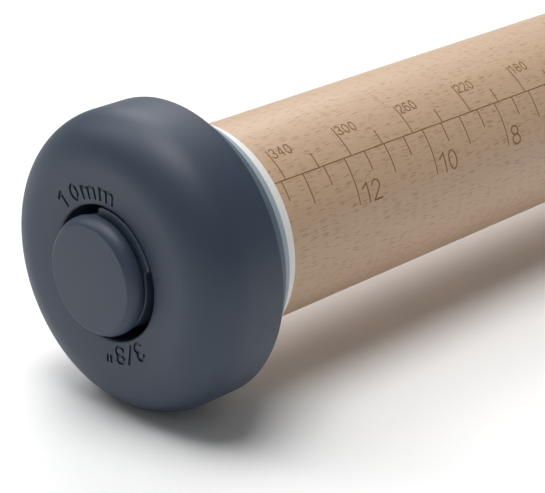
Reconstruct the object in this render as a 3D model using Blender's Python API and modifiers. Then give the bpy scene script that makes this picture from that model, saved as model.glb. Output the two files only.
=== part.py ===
# Adjustable rolling pin: a beech roller with four rim discs at each end, held by a screw knob.
# Metres, +Z up. The roller lies along X, its rims rest on Z = 0, and the origin is under its middle.
# Each end is built on its own empty, whose Z axis points out of the roller and whose X axis points up.

import math

import bmesh
import bpy

# Roller
ROLLER_LENGTH = 0.349
ROLLER_RADIUS = 0.022
ROLLER_EDGE_RADIUS = 0.0006

# Play left between pieces that touch
GAP = 0.0003

# Rim discs: how far each rim stands out from the roller, and how thick the disc is
RIM_STEP_2MM = 0.002
RIM_STEP_4MM = 0.004
RIM_STEP_6MM = 0.006
RIM_STEP_10MM = 0.010
THICKNESS_2MM = 0.0034
THICKNESS_4MM = 0.0028
THICKNESS_6MM = 0.00455
THIN_RIM_ROUNDING = 0.0006
THIN_RIM_WIDTH = 0.0042
THIN_BORE_LAND = 0.0026
RELIEF_DEPTH = 0.0007

# Outer disc: a drum with a nearly flat face, a round shoulder, a mouth for the knob and a cored-out back
DRUM_HEIGHT = 0.01915
DRUM_CREST_RADIUS = 0.0221
DRUM_LIP_DROP = 0.0004
DRUM_BACK_ROUNDING = 0.0008
MOUTH_RADIUS = 0.0142
MOUTH_EDGE_ROUNDING = 0.0005
MOUTH_DEPTH = 0.0086
MOUTH_FLOOR_THICKNESS = 0.0032
MOUTH_WALL = 0.002
DRUM_SHELL = 0.003
DRUM_BORE_WALL = 0.0035
DRUM_RIM_WALL = 0.0048
DRUM_RIB_COUNT = 8
DRUM_RIB_THICKNESS = 0.0016
DRUM_RIB_RECESS = 0.0015

# End hub: a plug in the roller, a flange let into its end face and a spigot that carries the discs
SPIGOT_RADIUS = 0.0095
SPIGOT_CHAMFER = 0.0005
FLANGE_RIM = 0.003
FLANGE_THICKNESS = 0.003
PLUG_RADIUS = 0.009
PLUG_LENGTH = 0.023
PLUG_TAPER = 0.0005
HUB_SHOULDER_DEPTH = 0.002
HUB_BOLT_CLEARANCE = 0.0006
CLIP_POCKET_RADIUS = 0.0077

# Hub screws
SCREW_COUNT = 3
SCREW_HEAD_RADIUS = 0.0026
SCREW_HEAD_HEIGHT = 0.0016
SCREW_SHANK_RADIUS = 0.0015
SCREW_LENGTH = 0.016
SCREW_POINT_LENGTH = 0.003
SCREW_POINT_RADIUS = 0.0004

# Threaded insert
INSERT_RADIUS = 0.0062
INSERT_LENGTH = 0.016
INSERT_GROOVE_WIDTH = 0.002
INSERT_GROOVE_DEPTH = 0.0006

# Knob: bolt, thrust washer, clip, lugged core and snap-on cap
BOLT_RADIUS = 0.004
BOLT_ENGAGED_LENGTH = 0.0152
BOLT_POINT_CHAMFER = 0.0006
BOLT_HEAD_FLATS = 0.012
BOLT_HEAD_HEIGHT = 0.0042
BOLT_GROOVE_DEPTH = 0.0006
WASHER_THICKNESS = 0.001
CLIP_RADIUS = 0.0068
CLIP_THICKNESS = 0.0008
CLIP_MOUTH_WIDTH = 0.0044
FINGER_GAP = 0.0016
CORE_HEIGHT = 0.0077
WAIST_STEP = 0.0004
BOSS_RISE = 0.0006
BOSS_ROOT = 0.001
CORE_FLOOR = 0.0016
CORE_EDGE_ROUNDING = 0.0003
LUG_SPAN = math.radians(79)
LUG_TURN = math.radians(-33.5)
CAP_HEIGHT = 0.0032
CAP_SHOULDER_STEP = 0.0015
CAP_SHOULDER_DROP = 0.0026
CAP_PLATE = 0.0013
CAP_SKIRT_STEP = 0.0017
CAP_SKIRT_WALL = 0.0014
CAP_SKIRT_LENGTH = 0.0032

# How far cutters run past what they cut, and how close screwed points must be to merge
OVERRUN = 0.001
MERGE_DISTANCE = 0.00001
SMOOTH_ANGLE = math.radians(30)

# Sides of the turned pieces
DRUM_SIDES = 48
THIN_SIDES = 32
ROLLER_SIDES = 40
KNOB_SIDES = 32
HUB_SIDES = 24
SMALL_SIDES = 16
SCREW_SIDES = 10
LUG_SIDES = 8
WAIST_SIDES = 8
CLIP_SIDES = 12

# Sizes that follow from the ones above
BORE_RADIUS = SPIGOT_RADIUS + GAP
DRUM_RADIUS = ROLLER_RADIUS + RIM_STEP_10MM
DRUM_SHOULDER_RADIUS = DRUM_RADIUS - DRUM_CREST_RADIUS
LIP_REACH = DRUM_CREST_RADIUS - MOUTH_RADIUS
DRUM_LIP_RADIUS = (LIP_REACH ** 2 + DRUM_LIP_DROP ** 2) / (2 * DRUM_LIP_DROP)
AXIS_HEIGHT = DRUM_RADIUS * math.cos(math.pi / DRUM_SIDES)
END_X = ROLLER_LENGTH / 2
BASE_2MM = GAP
BASE_4MM = BASE_2MM + THICKNESS_2MM + GAP
BASE_6MM = BASE_4MM + THICKNESS_4MM + GAP
DRUM_BASE = BASE_6MM + THICKNESS_6MM + GAP
MOUTH_Z = DRUM_HEIGHT - DRUM_LIP_DROP
FLOOR_Z = MOUTH_Z - MOUTH_DEPTH
SPIGOT_LENGTH = DRUM_BASE + FLOOR_Z - GAP
WASHER_BASE = DRUM_BASE + FLOOR_Z + GAP
CORE_BASE = WASHER_BASE + WASHER_THICKNESS + GAP
CAP_BASE = CORE_BASE + CORE_HEIGHT + GAP
BOLT_HEAD_BASE = CORE_BASE + CORE_FLOOR + GAP
CLIP_BASE = WASHER_BASE - GAP - CLIP_THICKNESS
BOLT_TIP = -HUB_SHOULDER_DEPTH - GAP - BOLT_ENGAGED_LENGTH
LUG_RADIUS = MOUTH_RADIUS - GAP
KNOB_RADIUS = MOUTH_RADIUS - FINGER_GAP
WAIST_RADIUS = KNOB_RADIUS - WAIST_STEP
LUG_HEIGHT = CORE_HEIGHT - BOSS_RISE
CAP_SKIRT_RADIUS = KNOB_RADIUS - CAP_SKIRT_STEP
CAP_SHOULDER_RADIUS = (CAP_SHOULDER_STEP ** 2 + CAP_SHOULDER_DROP ** 2) / (2 * CAP_SHOULDER_STEP)
WASHER_RADIUS = MOUTH_RADIUS - 2 * GAP
FLANGE_RADIUS = ROLLER_RADIUS - FLANGE_RIM
SCREW_CIRCLE_RADIUS = (PLUG_RADIUS + FLANGE_RADIUS) / 2

model = None
cutters = None


def clear_scene():
    for item in list(bpy.data.objects):
        bpy.data.objects.remove(item, do_unlink=True)


def new_collection(name):
    collection = bpy.data.collections.new(name)
    bpy.context.scene.collection.children.link(collection)
    return collection


def new_material(name, colour, roughness, metallic=0.0):
    material = bpy.data.materials.new(name)
    material.use_nodes = True
    shader = material.node_tree.nodes["Principled BSDF"]
    shader.inputs["Base Color"].default_value = (*colour, 1.0)
    shader.inputs["Roughness"].default_value = roughness
    shader.inputs["Metallic"].default_value = metallic
    return material


def add_object(name, mesh, parent, place=(0.0, 0.0, 0.0), turn=0.0):
    item = bpy.data.objects.new(name, mesh)
    model.objects.link(item)
    item.parent = parent
    item.location = place
    item.rotation_euler = (0.0, 0.0, turn)
    return item


def as_cutter(item):
    model.objects.unlink(item)
    cutters.objects.link(item)
    item.hide_render = True
    item.display_type = "WIRE"
    return item


def arc(centre, radius, start, end, segments):
    # Points on a circle in the (radius, height) plane, both ends included, angles in degrees
    points = []
    for i in range(segments + 1):
        angle = math.radians(start + (end - start) * i / segments)
        points.append((centre[0] + radius * math.cos(angle), centre[1] + radius * math.sin(angle)))
    return points


def turned(name, profile, sides, parent, closed=True, place=(0.0, 0.0, 0.0), turn=0.0):
    # The profile runs down its outer side and, where it is closed, back up its bore
    count = len(profile)
    last = count if closed else count - 1
    mesh = bpy.data.meshes.new(name)
    points = [(radius, 0.0, height) for radius, height in profile]
    mesh.from_pydata(points, [(i, (i + 1) % count) for i in range(last)], [])
    item = add_object(name, mesh, parent, place, turn)
    screw = item.modifiers.new("turn", "SCREW")
    screw.axis = "Z"
    screw.angle = 2 * math.pi
    screw.steps = sides
    screw.render_steps = sides
    screw.use_merge_vertices = True
    screw.merge_threshold = MERGE_DISTANCE
    screw.use_smooth_shade = True
    return item


def plate(name, outline, thickness, parent, rounding=0.0, place=(0.0, 0.0, 0.0)):
    # A flat outline made solid upwards from its own base, its edges rounded by the curve's bevel
    curve = bpy.data.curves.new(name, "CURVE")
    curve.dimensions = "2D"
    curve.fill_mode = "BOTH"
    curve.extrude = thickness / 2 - rounding
    curve.bevel_depth = rounding
    curve.bevel_resolution = 1
    curve.offset = -rounding
    spline = curve.splines.new("POLY")
    spline.points.add(len(outline) - 1)
    for point, (x, y) in zip(spline.points, outline):
        point.co = (x, y, 0.0, 1.0)
    spline.use_cyclic_u = True
    flat = add_object(name, curve, parent, place)
    bpy.context.view_layer.update()
    evaluated = flat.evaluated_get(bpy.context.evaluated_depsgraph_get())
    mesh = bpy.data.meshes.new_from_object(evaluated)
    bpy.data.objects.remove(flat, do_unlink=True)
    shape = bmesh.new()
    shape.from_mesh(mesh)
    bmesh.ops.remove_doubles(shape, verts=shape.verts, dist=MERGE_DISTANCE)
    bmesh.ops.translate(shape, verts=shape.verts, vec=(0.0, 0.0, thickness / 2))
    bmesh.ops.recalc_face_normals(shape, faces=shape.faces)
    shape.to_mesh(mesh)
    shape.free()
    mesh.name = name
    return add_object(name, mesh, parent, place)


def boolean(item, other, operation="DIFFERENCE"):
    step = item.modifiers.new(operation.lower(), "BOOLEAN")
    step.operation = operation
    step.object = as_cutter(other)
    step.solver = "EXACT"


def circle_points(radius, start, end, segments):
    return arc((0.0, 0.0), radius, math.degrees(start), math.degrees(end), segments)


def join_copies(name, mesh, transforms, parent):
    # Several turned or moved copies of one mesh in one object, still separate solids
    shape = bmesh.new()
    for angle, distance in transforms:
        copy = bmesh.new()
        copy.from_mesh(mesh)
        for vertex in copy.verts:
            x = vertex.co.x + distance
            y = vertex.co.y
            vertex.co.x = x * math.cos(angle) - y * math.sin(angle)
            vertex.co.y = x * math.sin(angle) + y * math.cos(angle)
        piece = bpy.data.meshes.new(name)
        copy.to_mesh(piece)
        copy.free()
        shape.from_mesh(piece)
        bpy.data.meshes.remove(piece)
    joined = bpy.data.meshes.new(name)
    shape.to_mesh(joined)
    shape.free()
    return add_object(name, joined, parent)


def evaluated_mesh(item):
    bpy.context.view_layer.update()
    evaluated = item.evaluated_get(bpy.context.evaluated_depsgraph_get())
    mesh = bpy.data.meshes.new_from_object(evaluated)
    bpy.data.objects.remove(item, do_unlink=True)
    return mesh


def even_turns(count, distance):
    return [(2 * math.pi * i / count, distance) for i in range(count)]


# Beech roller, bored and recessed at both ends for the hubs
def make_roller():
    half = ROLLER_LENGTH / 2
    recess = FLANGE_THICKNESS + GAP
    bore = FLANGE_THICKNESS + PLUG_LENGTH + GAP
    edge = ROLLER_EDGE_RADIUS
    end = [
        (0.0, half - bore),
        (PLUG_RADIUS + GAP, half - bore),
        (PLUG_RADIUS + GAP, half - recess),
        (FLANGE_RADIUS + GAP, half - recess),
        (FLANGE_RADIUS + GAP, half),
    ]
    end += arc((ROLLER_RADIUS - edge, half - edge), edge, 90, 0, 2)
    other_end = [(radius, -height) for radius, height in reversed(end)]
    roller = turned("beech_roller", end + other_end, ROLLER_SIDES, None, closed=False)
    roller.location = (0.0, 0.0, AXIS_HEIGHT)
    roller.rotation_euler = (0.0, -math.pi / 2, 0.0)
    return roller


def screw_profile(growth=0.0):
    # Countersunk wood screw, its head's face at height 0
    return [
        (0.0, growth),
        (SCREW_HEAD_RADIUS + growth, growth),
        (SCREW_SHANK_RADIUS + growth, -SCREW_HEAD_HEIGHT),
        (SCREW_SHANK_RADIUS + growth, SCREW_POINT_LENGTH - SCREW_LENGTH),
        (SCREW_POINT_RADIUS + growth, -SCREW_LENGTH - growth),
        (0.0, -SCREW_LENGTH - growth),
    ]


def make_screw_holes(name, end):
    # Cutter for all the holes of one end, larger than the screws by the play all round
    single = turned(name + "_one", screw_profile(GAP), SCREW_SIDES, None, closed=False)
    mesh = evaluated_mesh(single)
    holes = join_copies(name, mesh, even_turns(SCREW_COUNT, SCREW_CIRCLE_RADIUS), end)
    holes.location = (0.0, 0.0, -GAP)
    return holes


# End hub: spigot, flange and plug in one moulding, bored for the bolt and the insert
def make_hub(side, end):
    inner = BOLT_RADIUS + HUB_BOLT_CLEARANCE
    pocket_floor = CLIP_BASE - GAP
    plug_end = -FLANGE_THICKNESS - PLUG_LENGTH
    profile = [
        (SPIGOT_RADIUS - SPIGOT_CHAMFER, SPIGOT_LENGTH),
        (SPIGOT_RADIUS, SPIGOT_LENGTH - SPIGOT_CHAMFER),
        (SPIGOT_RADIUS, 0.0),
        (FLANGE_RADIUS, 0.0),
        (FLANGE_RADIUS, -FLANGE_THICKNESS),
        (PLUG_RADIUS, -FLANGE_THICKNESS),
        (PLUG_RADIUS - PLUG_TAPER, plug_end),
        (INSERT_RADIUS + GAP, plug_end),
        (INSERT_RADIUS + GAP, -HUB_SHOULDER_DEPTH),
        (inner, -HUB_SHOULDER_DEPTH),
        (inner, pocket_floor),
        (CLIP_POCKET_RADIUS, pocket_floor),
        (CLIP_POCKET_RADIUS, SPIGOT_LENGTH),
    ]
    hub = turned(side + "_end_hub", profile, HUB_SIDES, end)
    boolean(hub, make_screw_holes(side + "_hub_screw_holes", end))
    return hub


def make_hub_screws(side, end):
    screws = []
    for i, (angle, distance) in enumerate(even_turns(SCREW_COUNT, SCREW_CIRCLE_RADIUS)):
        place = (distance * math.cos(angle), distance * math.sin(angle), -GAP)
        name = side + "_hub_screw_" + str(i + 1)
        screw = turned(name, screw_profile(), SCREW_SIDES, end, closed=False, place=place, turn=angle)
        screws.append(screw)
    return screws


# Brass insert, pulled against the hub's inner shoulder when the knob is tightened
def make_insert(side, end):
    top = -HUB_SHOULDER_DEPTH - GAP
    bottom = top - INSERT_LENGTH
    middle = (top + bottom) / 2
    half_groove = INSERT_GROOVE_WIDTH / 2
    waist = INSERT_RADIUS - INSERT_GROOVE_DEPTH
    bore = BOLT_RADIUS + GAP
    profile = [
        (INSERT_RADIUS, top),
        (INSERT_RADIUS, middle + half_groove),
        (waist, middle + half_groove),
        (waist, middle - half_groove),
        (INSERT_RADIUS, middle - half_groove),
        (INSERT_RADIUS, bottom),
        (bore, bottom),
        (bore, top),
    ]
    return turned(side + "_thread_insert", profile, SMALL_SIDES, end)


# Thin disc: flat ring with a rounded rim and a shallow relief moulded into its back
def make_thin_disc(side, end, label, step, base, thickness):
    radius = ROLLER_RADIUS + step
    edge = THIN_RIM_ROUNDING
    relief_outer = radius - THIN_RIM_WIDTH
    relief_inner = BORE_RADIUS + THIN_BORE_LAND
    profile = arc((radius - edge, thickness - edge), edge, 90, 0, 1)
    profile += arc((radius - edge, edge), edge, 0, -90, 1)
    profile += [
        (relief_outer, 0.0),
        (relief_outer, RELIEF_DEPTH),
        (relief_inner, RELIEF_DEPTH),
        (relief_inner, 0.0),
        (BORE_RADIUS, 0.0),
        (BORE_RADIUS, thickness),
    ]
    return turned(side + "_disc_" + label, profile, THIN_SIDES, end, place=(0.0, 0.0, base))


def lip_height(radius):
    # Height of the front face between the mouth and the crest
    reach = DRUM_CREST_RADIUS - radius
    return DRUM_HEIGHT - DRUM_LIP_RADIUS + math.sqrt(DRUM_LIP_RADIUS ** 2 - reach ** 2)


def drum_profile():
    # Down the outside from the mouth's edge, then in over the cored-out back and up the bore
    shoulder_z = DRUM_HEIGHT - DRUM_SHOULDER_RADIUS
    edge = DRUM_BACK_ROUNDING
    crest = (DRUM_CREST_RADIUS, shoulder_z)
    mouth_edge = MOUTH_RADIUS + MOUTH_EDGE_ROUNDING
    lip_start = (mouth_edge, lip_height(mouth_edge))
    lip_middle_radius = (mouth_edge + DRUM_CREST_RADIUS) / 2
    profile = [
        (MOUTH_RADIUS, lip_start[1] - MOUTH_EDGE_ROUNDING),
        lip_start,
        (lip_middle_radius, lip_height(lip_middle_radius)),
    ]
    profile += arc(crest, DRUM_SHOULDER_RADIUS, 90, 0, 7)
    profile += arc((DRUM_RADIUS - edge, edge), edge, 0, -90, 1)
    cavity_radius = DRUM_RADIUS - DRUM_RIM_WALL
    ceiling_radius = DRUM_SHOULDER_RADIUS - DRUM_SHELL
    ceiling_end = math.degrees(math.acos((cavity_radius - DRUM_CREST_RADIUS) / ceiling_radius))
    ceiling = arc(crest, ceiling_radius, ceiling_end, 90, 2)
    wall_radius = MOUTH_RADIUS + MOUTH_WALL
    under_floor = FLOOR_Z - MOUTH_FLOOR_THICKNESS
    profile.append((cavity_radius, 0.0))
    profile += ceiling
    profile += [
        (wall_radius, lip_height(wall_radius) - DRUM_SHELL),
        (wall_radius, under_floor),
        (BORE_RADIUS + DRUM_BORE_WALL, under_floor),
        (BORE_RADIUS + DRUM_BORE_WALL, 0.0),
        (BORE_RADIUS, 0.0),
        (BORE_RADIUS, FLOOR_Z),
        (MOUTH_RADIUS, FLOOR_Z),
    ]
    return profile


def rib_outline():
    # One rib's outline in (radius, height), run to the middle of the walls that it joins
    shoulder_z = DRUM_HEIGHT - DRUM_SHOULDER_RADIUS
    outer = DRUM_RADIUS - DRUM_RIM_WALL / 2
    shell_radius = DRUM_SHOULDER_RADIUS - DRUM_SHELL / 2
    start = math.degrees(math.acos((outer - DRUM_CREST_RADIUS) / shell_radius))
    inner = BORE_RADIUS + DRUM_BORE_WALL / 2
    wall = MOUTH_RADIUS + MOUTH_WALL / 2
    floor = FLOOR_Z - MOUTH_FLOOR_THICKNESS / 2
    outline = [(inner, DRUM_RIB_RECESS), (outer, DRUM_RIB_RECESS)]
    outline += arc((DRUM_CREST_RADIUS, shoulder_z), shell_radius, start, 90, 3)
    outline += [
        (wall, lip_height(wall) - DRUM_SHELL / 2),
        (wall, floor),
        (inner, floor),
    ]
    return outline


def make_ribs(name, end):
    # The outline is drawn flat and stood up along the radius before it is copied round
    rib = plate(name + "_one", rib_outline(), DRUM_RIB_THICKNESS, None)
    mesh = evaluated_mesh(rib)
    for vertex in mesh.vertices:
        radius, height, offset = vertex.co
        vertex.co = (radius, DRUM_RIB_THICKNESS / 2 - offset, height)
    return join_copies(name, mesh, even_turns(DRUM_RIB_COUNT, 0.0), end)


# Outer disc: the drum-shaped 10 mm disc, with radial ribs in its cored-out back
def make_drum(side, end):
    half_side = math.pi / DRUM_SIDES
    place = (0.0, 0.0, DRUM_BASE)
    drum = turned(side + "_disc_10mm", drum_profile(), DRUM_SIDES, end, place=place, turn=half_side)
    ribs = make_ribs(side + "_drum_ribs", end)
    ribs.location = place
    boolean(drum, ribs, "UNION")
    return drum


def make_washer(side, travel):
    bore = BOLT_RADIUS + GAP
    profile = [
        (WASHER_RADIUS, WASHER_THICKNESS),
        (WASHER_RADIUS, 0.0),
        (bore, 0.0),
        (bore, WASHER_THICKNESS),
    ]
    return turned(side + "_thrust_washer", profile, HUB_SIDES, travel, place=(0.0, 0.0, WASHER_BASE))


# Open retaining clip in the bolt's groove, which keeps the washer on the knob
def make_clip(side, knob):
    inner = BOLT_RADIUS - BOLT_GROOVE_DEPTH + GAP
    outer_gap = math.asin(CLIP_MOUTH_WIDTH / 2 / CLIP_RADIUS)
    inner_gap = math.asin(CLIP_MOUTH_WIDTH / 2 / inner)
    outline = circle_points(CLIP_RADIUS, outer_gap, 2 * math.pi - outer_gap, CLIP_SIDES)
    outline += circle_points(inner, 2 * math.pi - inner_gap, inner_gap, CLIP_SIDES)
    place = (0.0, 0.0, CLIP_BASE)
    return plate(side + "_retaining_clip", outline, CLIP_THICKNESS, knob, place=place)


# Bolt with a hexagon head, a clip groove under the head and a plain chamfered tip
def make_bolt(side, knob):
    groove = BOLT_RADIUS - BOLT_GROOVE_DEPTH
    profile = [
        (0.0, BOLT_HEAD_BASE + OVERRUN),
        (BOLT_RADIUS, BOLT_HEAD_BASE + OVERRUN),
        (BOLT_RADIUS, CLIP_BASE + CLIP_THICKNESS + GAP),
        (groove, CLIP_BASE + CLIP_THICKNESS + GAP),
        (groove, CLIP_BASE - GAP),
        (BOLT_RADIUS, CLIP_BASE - GAP),
        (BOLT_RADIUS, BOLT_TIP + BOLT_POINT_CHAMFER),
        (BOLT_RADIUS - BOLT_POINT_CHAMFER, BOLT_TIP),
        (0.0, BOLT_TIP),
    ]
    bolt = turned(side + "_knob_bolt", profile, SMALL_SIDES, knob, closed=False)
    head = hexagon(side + "_bolt_head", BOLT_HEAD_FLATS, BOLT_HEAD_HEIGHT, knob)
    head.location = (0.0, 0.0, BOLT_HEAD_BASE)
    boolean(bolt, head, "UNION")
    return bolt


def hexagon(name, flats, height, parent):
    corner_radius = flats / 2 / math.cos(math.pi / 6)
    mesh = bpy.data.meshes.new(name)
    shape = bmesh.new()
    bmesh.ops.create_cone(
        shape, cap_ends=True, segments=6, radius1=corner_radius, radius2=corner_radius, depth=height
    )
    bmesh.ops.translate(shape, verts=shape.verts, vec=(0.0, 0.0, height / 2))
    shape.to_mesh(mesh)
    shape.free()
    return add_object(name, mesh, parent)


def core_outline():
    # Two lugs reach out to the mouth of the outer disc, and the waist between them is round
    half_lug = LUG_SPAN / 2
    outline = []
    for turn in (LUG_TURN, LUG_TURN + math.pi):
        outline += circle_points(LUG_RADIUS, turn - half_lug, turn + half_lug, LUG_SIDES)
        waist = circle_points(WAIST_RADIUS, turn + half_lug, turn + math.pi - half_lug, WAIST_SIDES)
        outline += waist
    return outline


# Knob core: lugs and a round boss over them, bored in steps for the bolt's head; it bears on the washer
def make_core(side, knob):
    place = (0.0, 0.0, CORE_BASE)
    name = side + "_knob_core"
    core = plate(name, core_outline(), LUG_HEIGHT, knob, CORE_EDGE_ROUNDING, place)
    boss_foot = LUG_HEIGHT - BOSS_ROOT
    boss = [(0.0, CORE_HEIGHT), (KNOB_RADIUS, CORE_HEIGHT), (KNOB_RADIUS, boss_foot), (0.0, boss_foot)]
    round_boss = turned(name + "_boss", boss, KNOB_SIDES, knob, closed=False, place=place)
    boolean(core, round_boss, "UNION")
    pocket_height = CORE_HEIGHT - CORE_FLOOR + OVERRUN
    pocket = hexagon(name + "_pocket", BOLT_HEAD_FLATS + 2 * GAP, pocket_height, knob)
    pocket.location = (0.0, 0.0, CORE_BASE + CORE_FLOOR)
    boolean(core, pocket)
    bore = BOLT_RADIUS + GAP
    hole_top = CORE_FLOOR + OVERRUN
    hole = [(0.0, hole_top), (bore, hole_top), (bore, -OVERRUN), (0.0, -OVERRUN)]
    boolean(core, turned(name + "_hole", hole, SMALL_SIDES, knob, closed=False, place=place))
    top = CORE_HEIGHT + OVERRUN
    bottom = CORE_HEIGHT - CAP_SKIRT_LENGTH
    outer = CAP_SKIRT_RADIUS + GAP
    inner = CAP_SKIRT_RADIUS - CAP_SKIRT_WALL - GAP
    groove = [(outer, top), (outer, bottom), (inner, bottom), (inner, top)]
    boolean(core, turned(name + "_groove", groove, KNOB_SIDES, knob, place=place))
    return core


# Knob cap: the round button that shows, with a skirt that snaps into the core
def make_cap(side, knob):
    skirt_inner = CAP_SKIRT_RADIUS - CAP_SKIRT_WALL
    shoulder = (KNOB_RADIUS - CAP_SHOULDER_RADIUS, CAP_HEIGHT - CAP_SHOULDER_DROP)
    shoulder_start = math.degrees(math.asin(CAP_SHOULDER_DROP / CAP_SHOULDER_RADIUS))
    profile = [(0.0, CAP_HEIGHT)]
    profile += arc(shoulder, CAP_SHOULDER_RADIUS, shoulder_start, 0, 4)
    profile += [
        (KNOB_RADIUS, 0.0),
        (CAP_SKIRT_RADIUS, 0.0),
        (CAP_SKIRT_RADIUS, -CAP_SKIRT_LENGTH),
        (skirt_inner, -CAP_SKIRT_LENGTH),
        (skirt_inner, CAP_PLATE),
        (0.0, CAP_PLATE),
    ]
    place = (0.0, 0.0, CAP_BASE)
    return turned(side + "_knob_cap", profile, KNOB_SIDES, knob, closed=False, place=place)


def finish(item, material):
    item.data.materials.clear()
    item.data.materials.append(material)
    for step in item.modifiers:
        if step.type == "BOOLEAN":
            step.material_mode = "INDEX"


def new_empty(name, parent=None):
    empty = bpy.data.objects.new(name, None)
    model.objects.link(empty)
    empty.parent = parent
    return empty


def make_end(side, direction):
    # direction is -1 at the left end and +1 at the right
    end = new_empty(side + "_end")
    end.location = (direction * END_X, 0.0, AXIS_HEIGHT)
    half_turn = math.pi if direction > 0 else 0.0
    end.rotation_euler = (0.0, -math.pi / 2, half_turn)
    travel = new_empty(side + "_knob_travel_axis", end)
    knob = new_empty(side + "_knob_turn_axis", travel)
    pieces = {
        "grey_hub": [make_hub(side, end)],
        "steel": make_hub_screws(side, end),
        "brass": [make_insert(side, end)],
        "white": [make_thin_disc(side, end, "2mm", RIM_STEP_2MM, BASE_2MM, THICKNESS_2MM)],
        "light_blue": [make_thin_disc(side, end, "4mm", RIM_STEP_4MM, BASE_4MM, THICKNESS_4MM)],
        "mid_blue": [make_thin_disc(side, end, "6mm", RIM_STEP_6MM, BASE_6MM, THICKNESS_6MM)],
        "dark_slate": [make_drum(side, end)],
    }
    pieces["black"] = [make_washer(side, travel)]
    pieces["steel"] += [make_bolt(side, knob), make_clip(side, knob)]
    pieces["dark_slate"] += [make_core(side, knob), make_cap(side, knob)]
    return pieces


COLOURS = {
    "beech": ((0.6, 0.46, 0.35), 0.6, 0.0),
    "dark_slate": ((0.065, 0.083, 0.108), 0.45, 0.0),
    "mid_blue": ((0.105, 0.137, 0.175), 0.45, 0.0),
    "light_blue": ((0.26, 0.3, 0.345), 0.45, 0.0),
    "white": ((0.66, 0.64, 0.62), 0.45, 0.0),
    "grey_hub": ((0.24, 0.25, 0.27), 0.5, 0.0),
    "black": ((0.02, 0.021, 0.024), 0.5, 0.0),
    "steel": ((0.6, 0.6, 0.61), 0.3, 1.0),
    "brass": ((0.75, 0.55, 0.25), 0.35, 1.0),
}


def build():
    global model, cutters
    clear_scene()
    model = new_collection("adjustable_rolling_pin")
    cutters = new_collection("cutters")
    roller = make_roller()
    groups = [{"beech": [roller]}, make_end("left", -1), make_end("right", 1)]
    for side in ("left", "right"):
        end = bpy.data.objects[side + "_end"]
        boolean(roller, make_screw_holes(side + "_pilot_holes", end))
    for pieces in groups:
        for colour, items in pieces.items():
            for item in items:
                finish(item, new_material(item.name, *COLOURS[colour]))
    for item in model.objects:
        if item.type == "MESH":
            item.data.shade_smooth()
            item.data.set_sharp_from_angle(angle=SMOOTH_ANGLE)


build()
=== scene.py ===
# Adjustable rolling pin: the finished pieces, materials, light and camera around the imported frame.
# Metres. The roller lies along X; each end piece is drawn with Z out of the roller and X up.
import math

import bmesh
import bpy
from mathutils import Matrix, Vector


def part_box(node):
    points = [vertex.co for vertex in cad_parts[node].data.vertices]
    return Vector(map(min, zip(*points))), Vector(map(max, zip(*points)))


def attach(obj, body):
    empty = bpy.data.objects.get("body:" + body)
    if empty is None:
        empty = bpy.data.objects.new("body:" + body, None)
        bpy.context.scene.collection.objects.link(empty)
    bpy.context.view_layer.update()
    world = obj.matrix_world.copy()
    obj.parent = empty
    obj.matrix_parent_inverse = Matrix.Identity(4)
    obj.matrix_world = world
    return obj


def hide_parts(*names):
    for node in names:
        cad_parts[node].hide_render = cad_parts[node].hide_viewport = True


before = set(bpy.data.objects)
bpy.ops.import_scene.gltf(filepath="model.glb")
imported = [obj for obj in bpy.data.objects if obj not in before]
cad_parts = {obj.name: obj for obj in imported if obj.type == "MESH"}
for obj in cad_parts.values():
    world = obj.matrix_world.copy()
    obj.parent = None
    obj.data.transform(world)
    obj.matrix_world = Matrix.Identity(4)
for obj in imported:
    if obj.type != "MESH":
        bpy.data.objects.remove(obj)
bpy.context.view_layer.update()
mm = 0.001
print("frame loaded:", len(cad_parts), "nodes")

# What the pieces share. The places come from the frame, so that they sit where the solids are
rollerLow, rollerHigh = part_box("beech_roller")
pin = {
    "endX": rollerHigh.x,
    "axisHeight": (rollerLow.z + rollerHigh.z) / 2,
    "rollerRadius": 22 * mm,
    "sides": 144,
    "sharpAngle": math.radians(32),
    # A point that lies this close to a turned surface is on it
    "surfaceTolerance": 0.02 * mm,
}


def endMatrix(side):
    out = -1.0 if side == "left" else 1.0
    turn = Matrix(((0, 0, out), (0, -out, 0), (1, 0, 0))).to_4x4()
    return Matrix.Translation((out * pin["endX"], 0, pin["axisHeight"])) @ turn


def nodeSpan(node):
    # Lowest and highest point of an end's node, measured outwards from the roller's end face
    low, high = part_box("left_" + node)
    return -high.x - pin["endX"], -low.x - pin["endX"]


# Meshes and pieces

def meshFrom(bm, name):
    mesh = bpy.data.meshes.new(name)
    bm.normal_update()
    bm.to_mesh(mesh)
    bm.free()
    return mesh


def newPiece(name, mesh, paint=None):
    piece = bpy.data.objects.new(name, mesh)
    bpy.context.scene.collection.objects.link(piece)
    if paint:
        mesh.materials.clear()
        mesh.materials.append(materials[paint])
    return piece


def repaint(piece, paint):
    piece.data.materials.clear()
    piece.data.materials.append(materials[paint])


def lifted(piece, height):
    piece.data.transform(Matrix.Translation((0, 0, height)))
    return piece


def arcPoints(centre, radius, start, end, steps):
    points = []
    for i in range(steps + 1):
        angle = math.radians(start + (end - start) * i / steps)
        points.append((centre[0] + radius * math.cos(angle), centre[1] + radius * math.sin(angle)))
    return points


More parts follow.
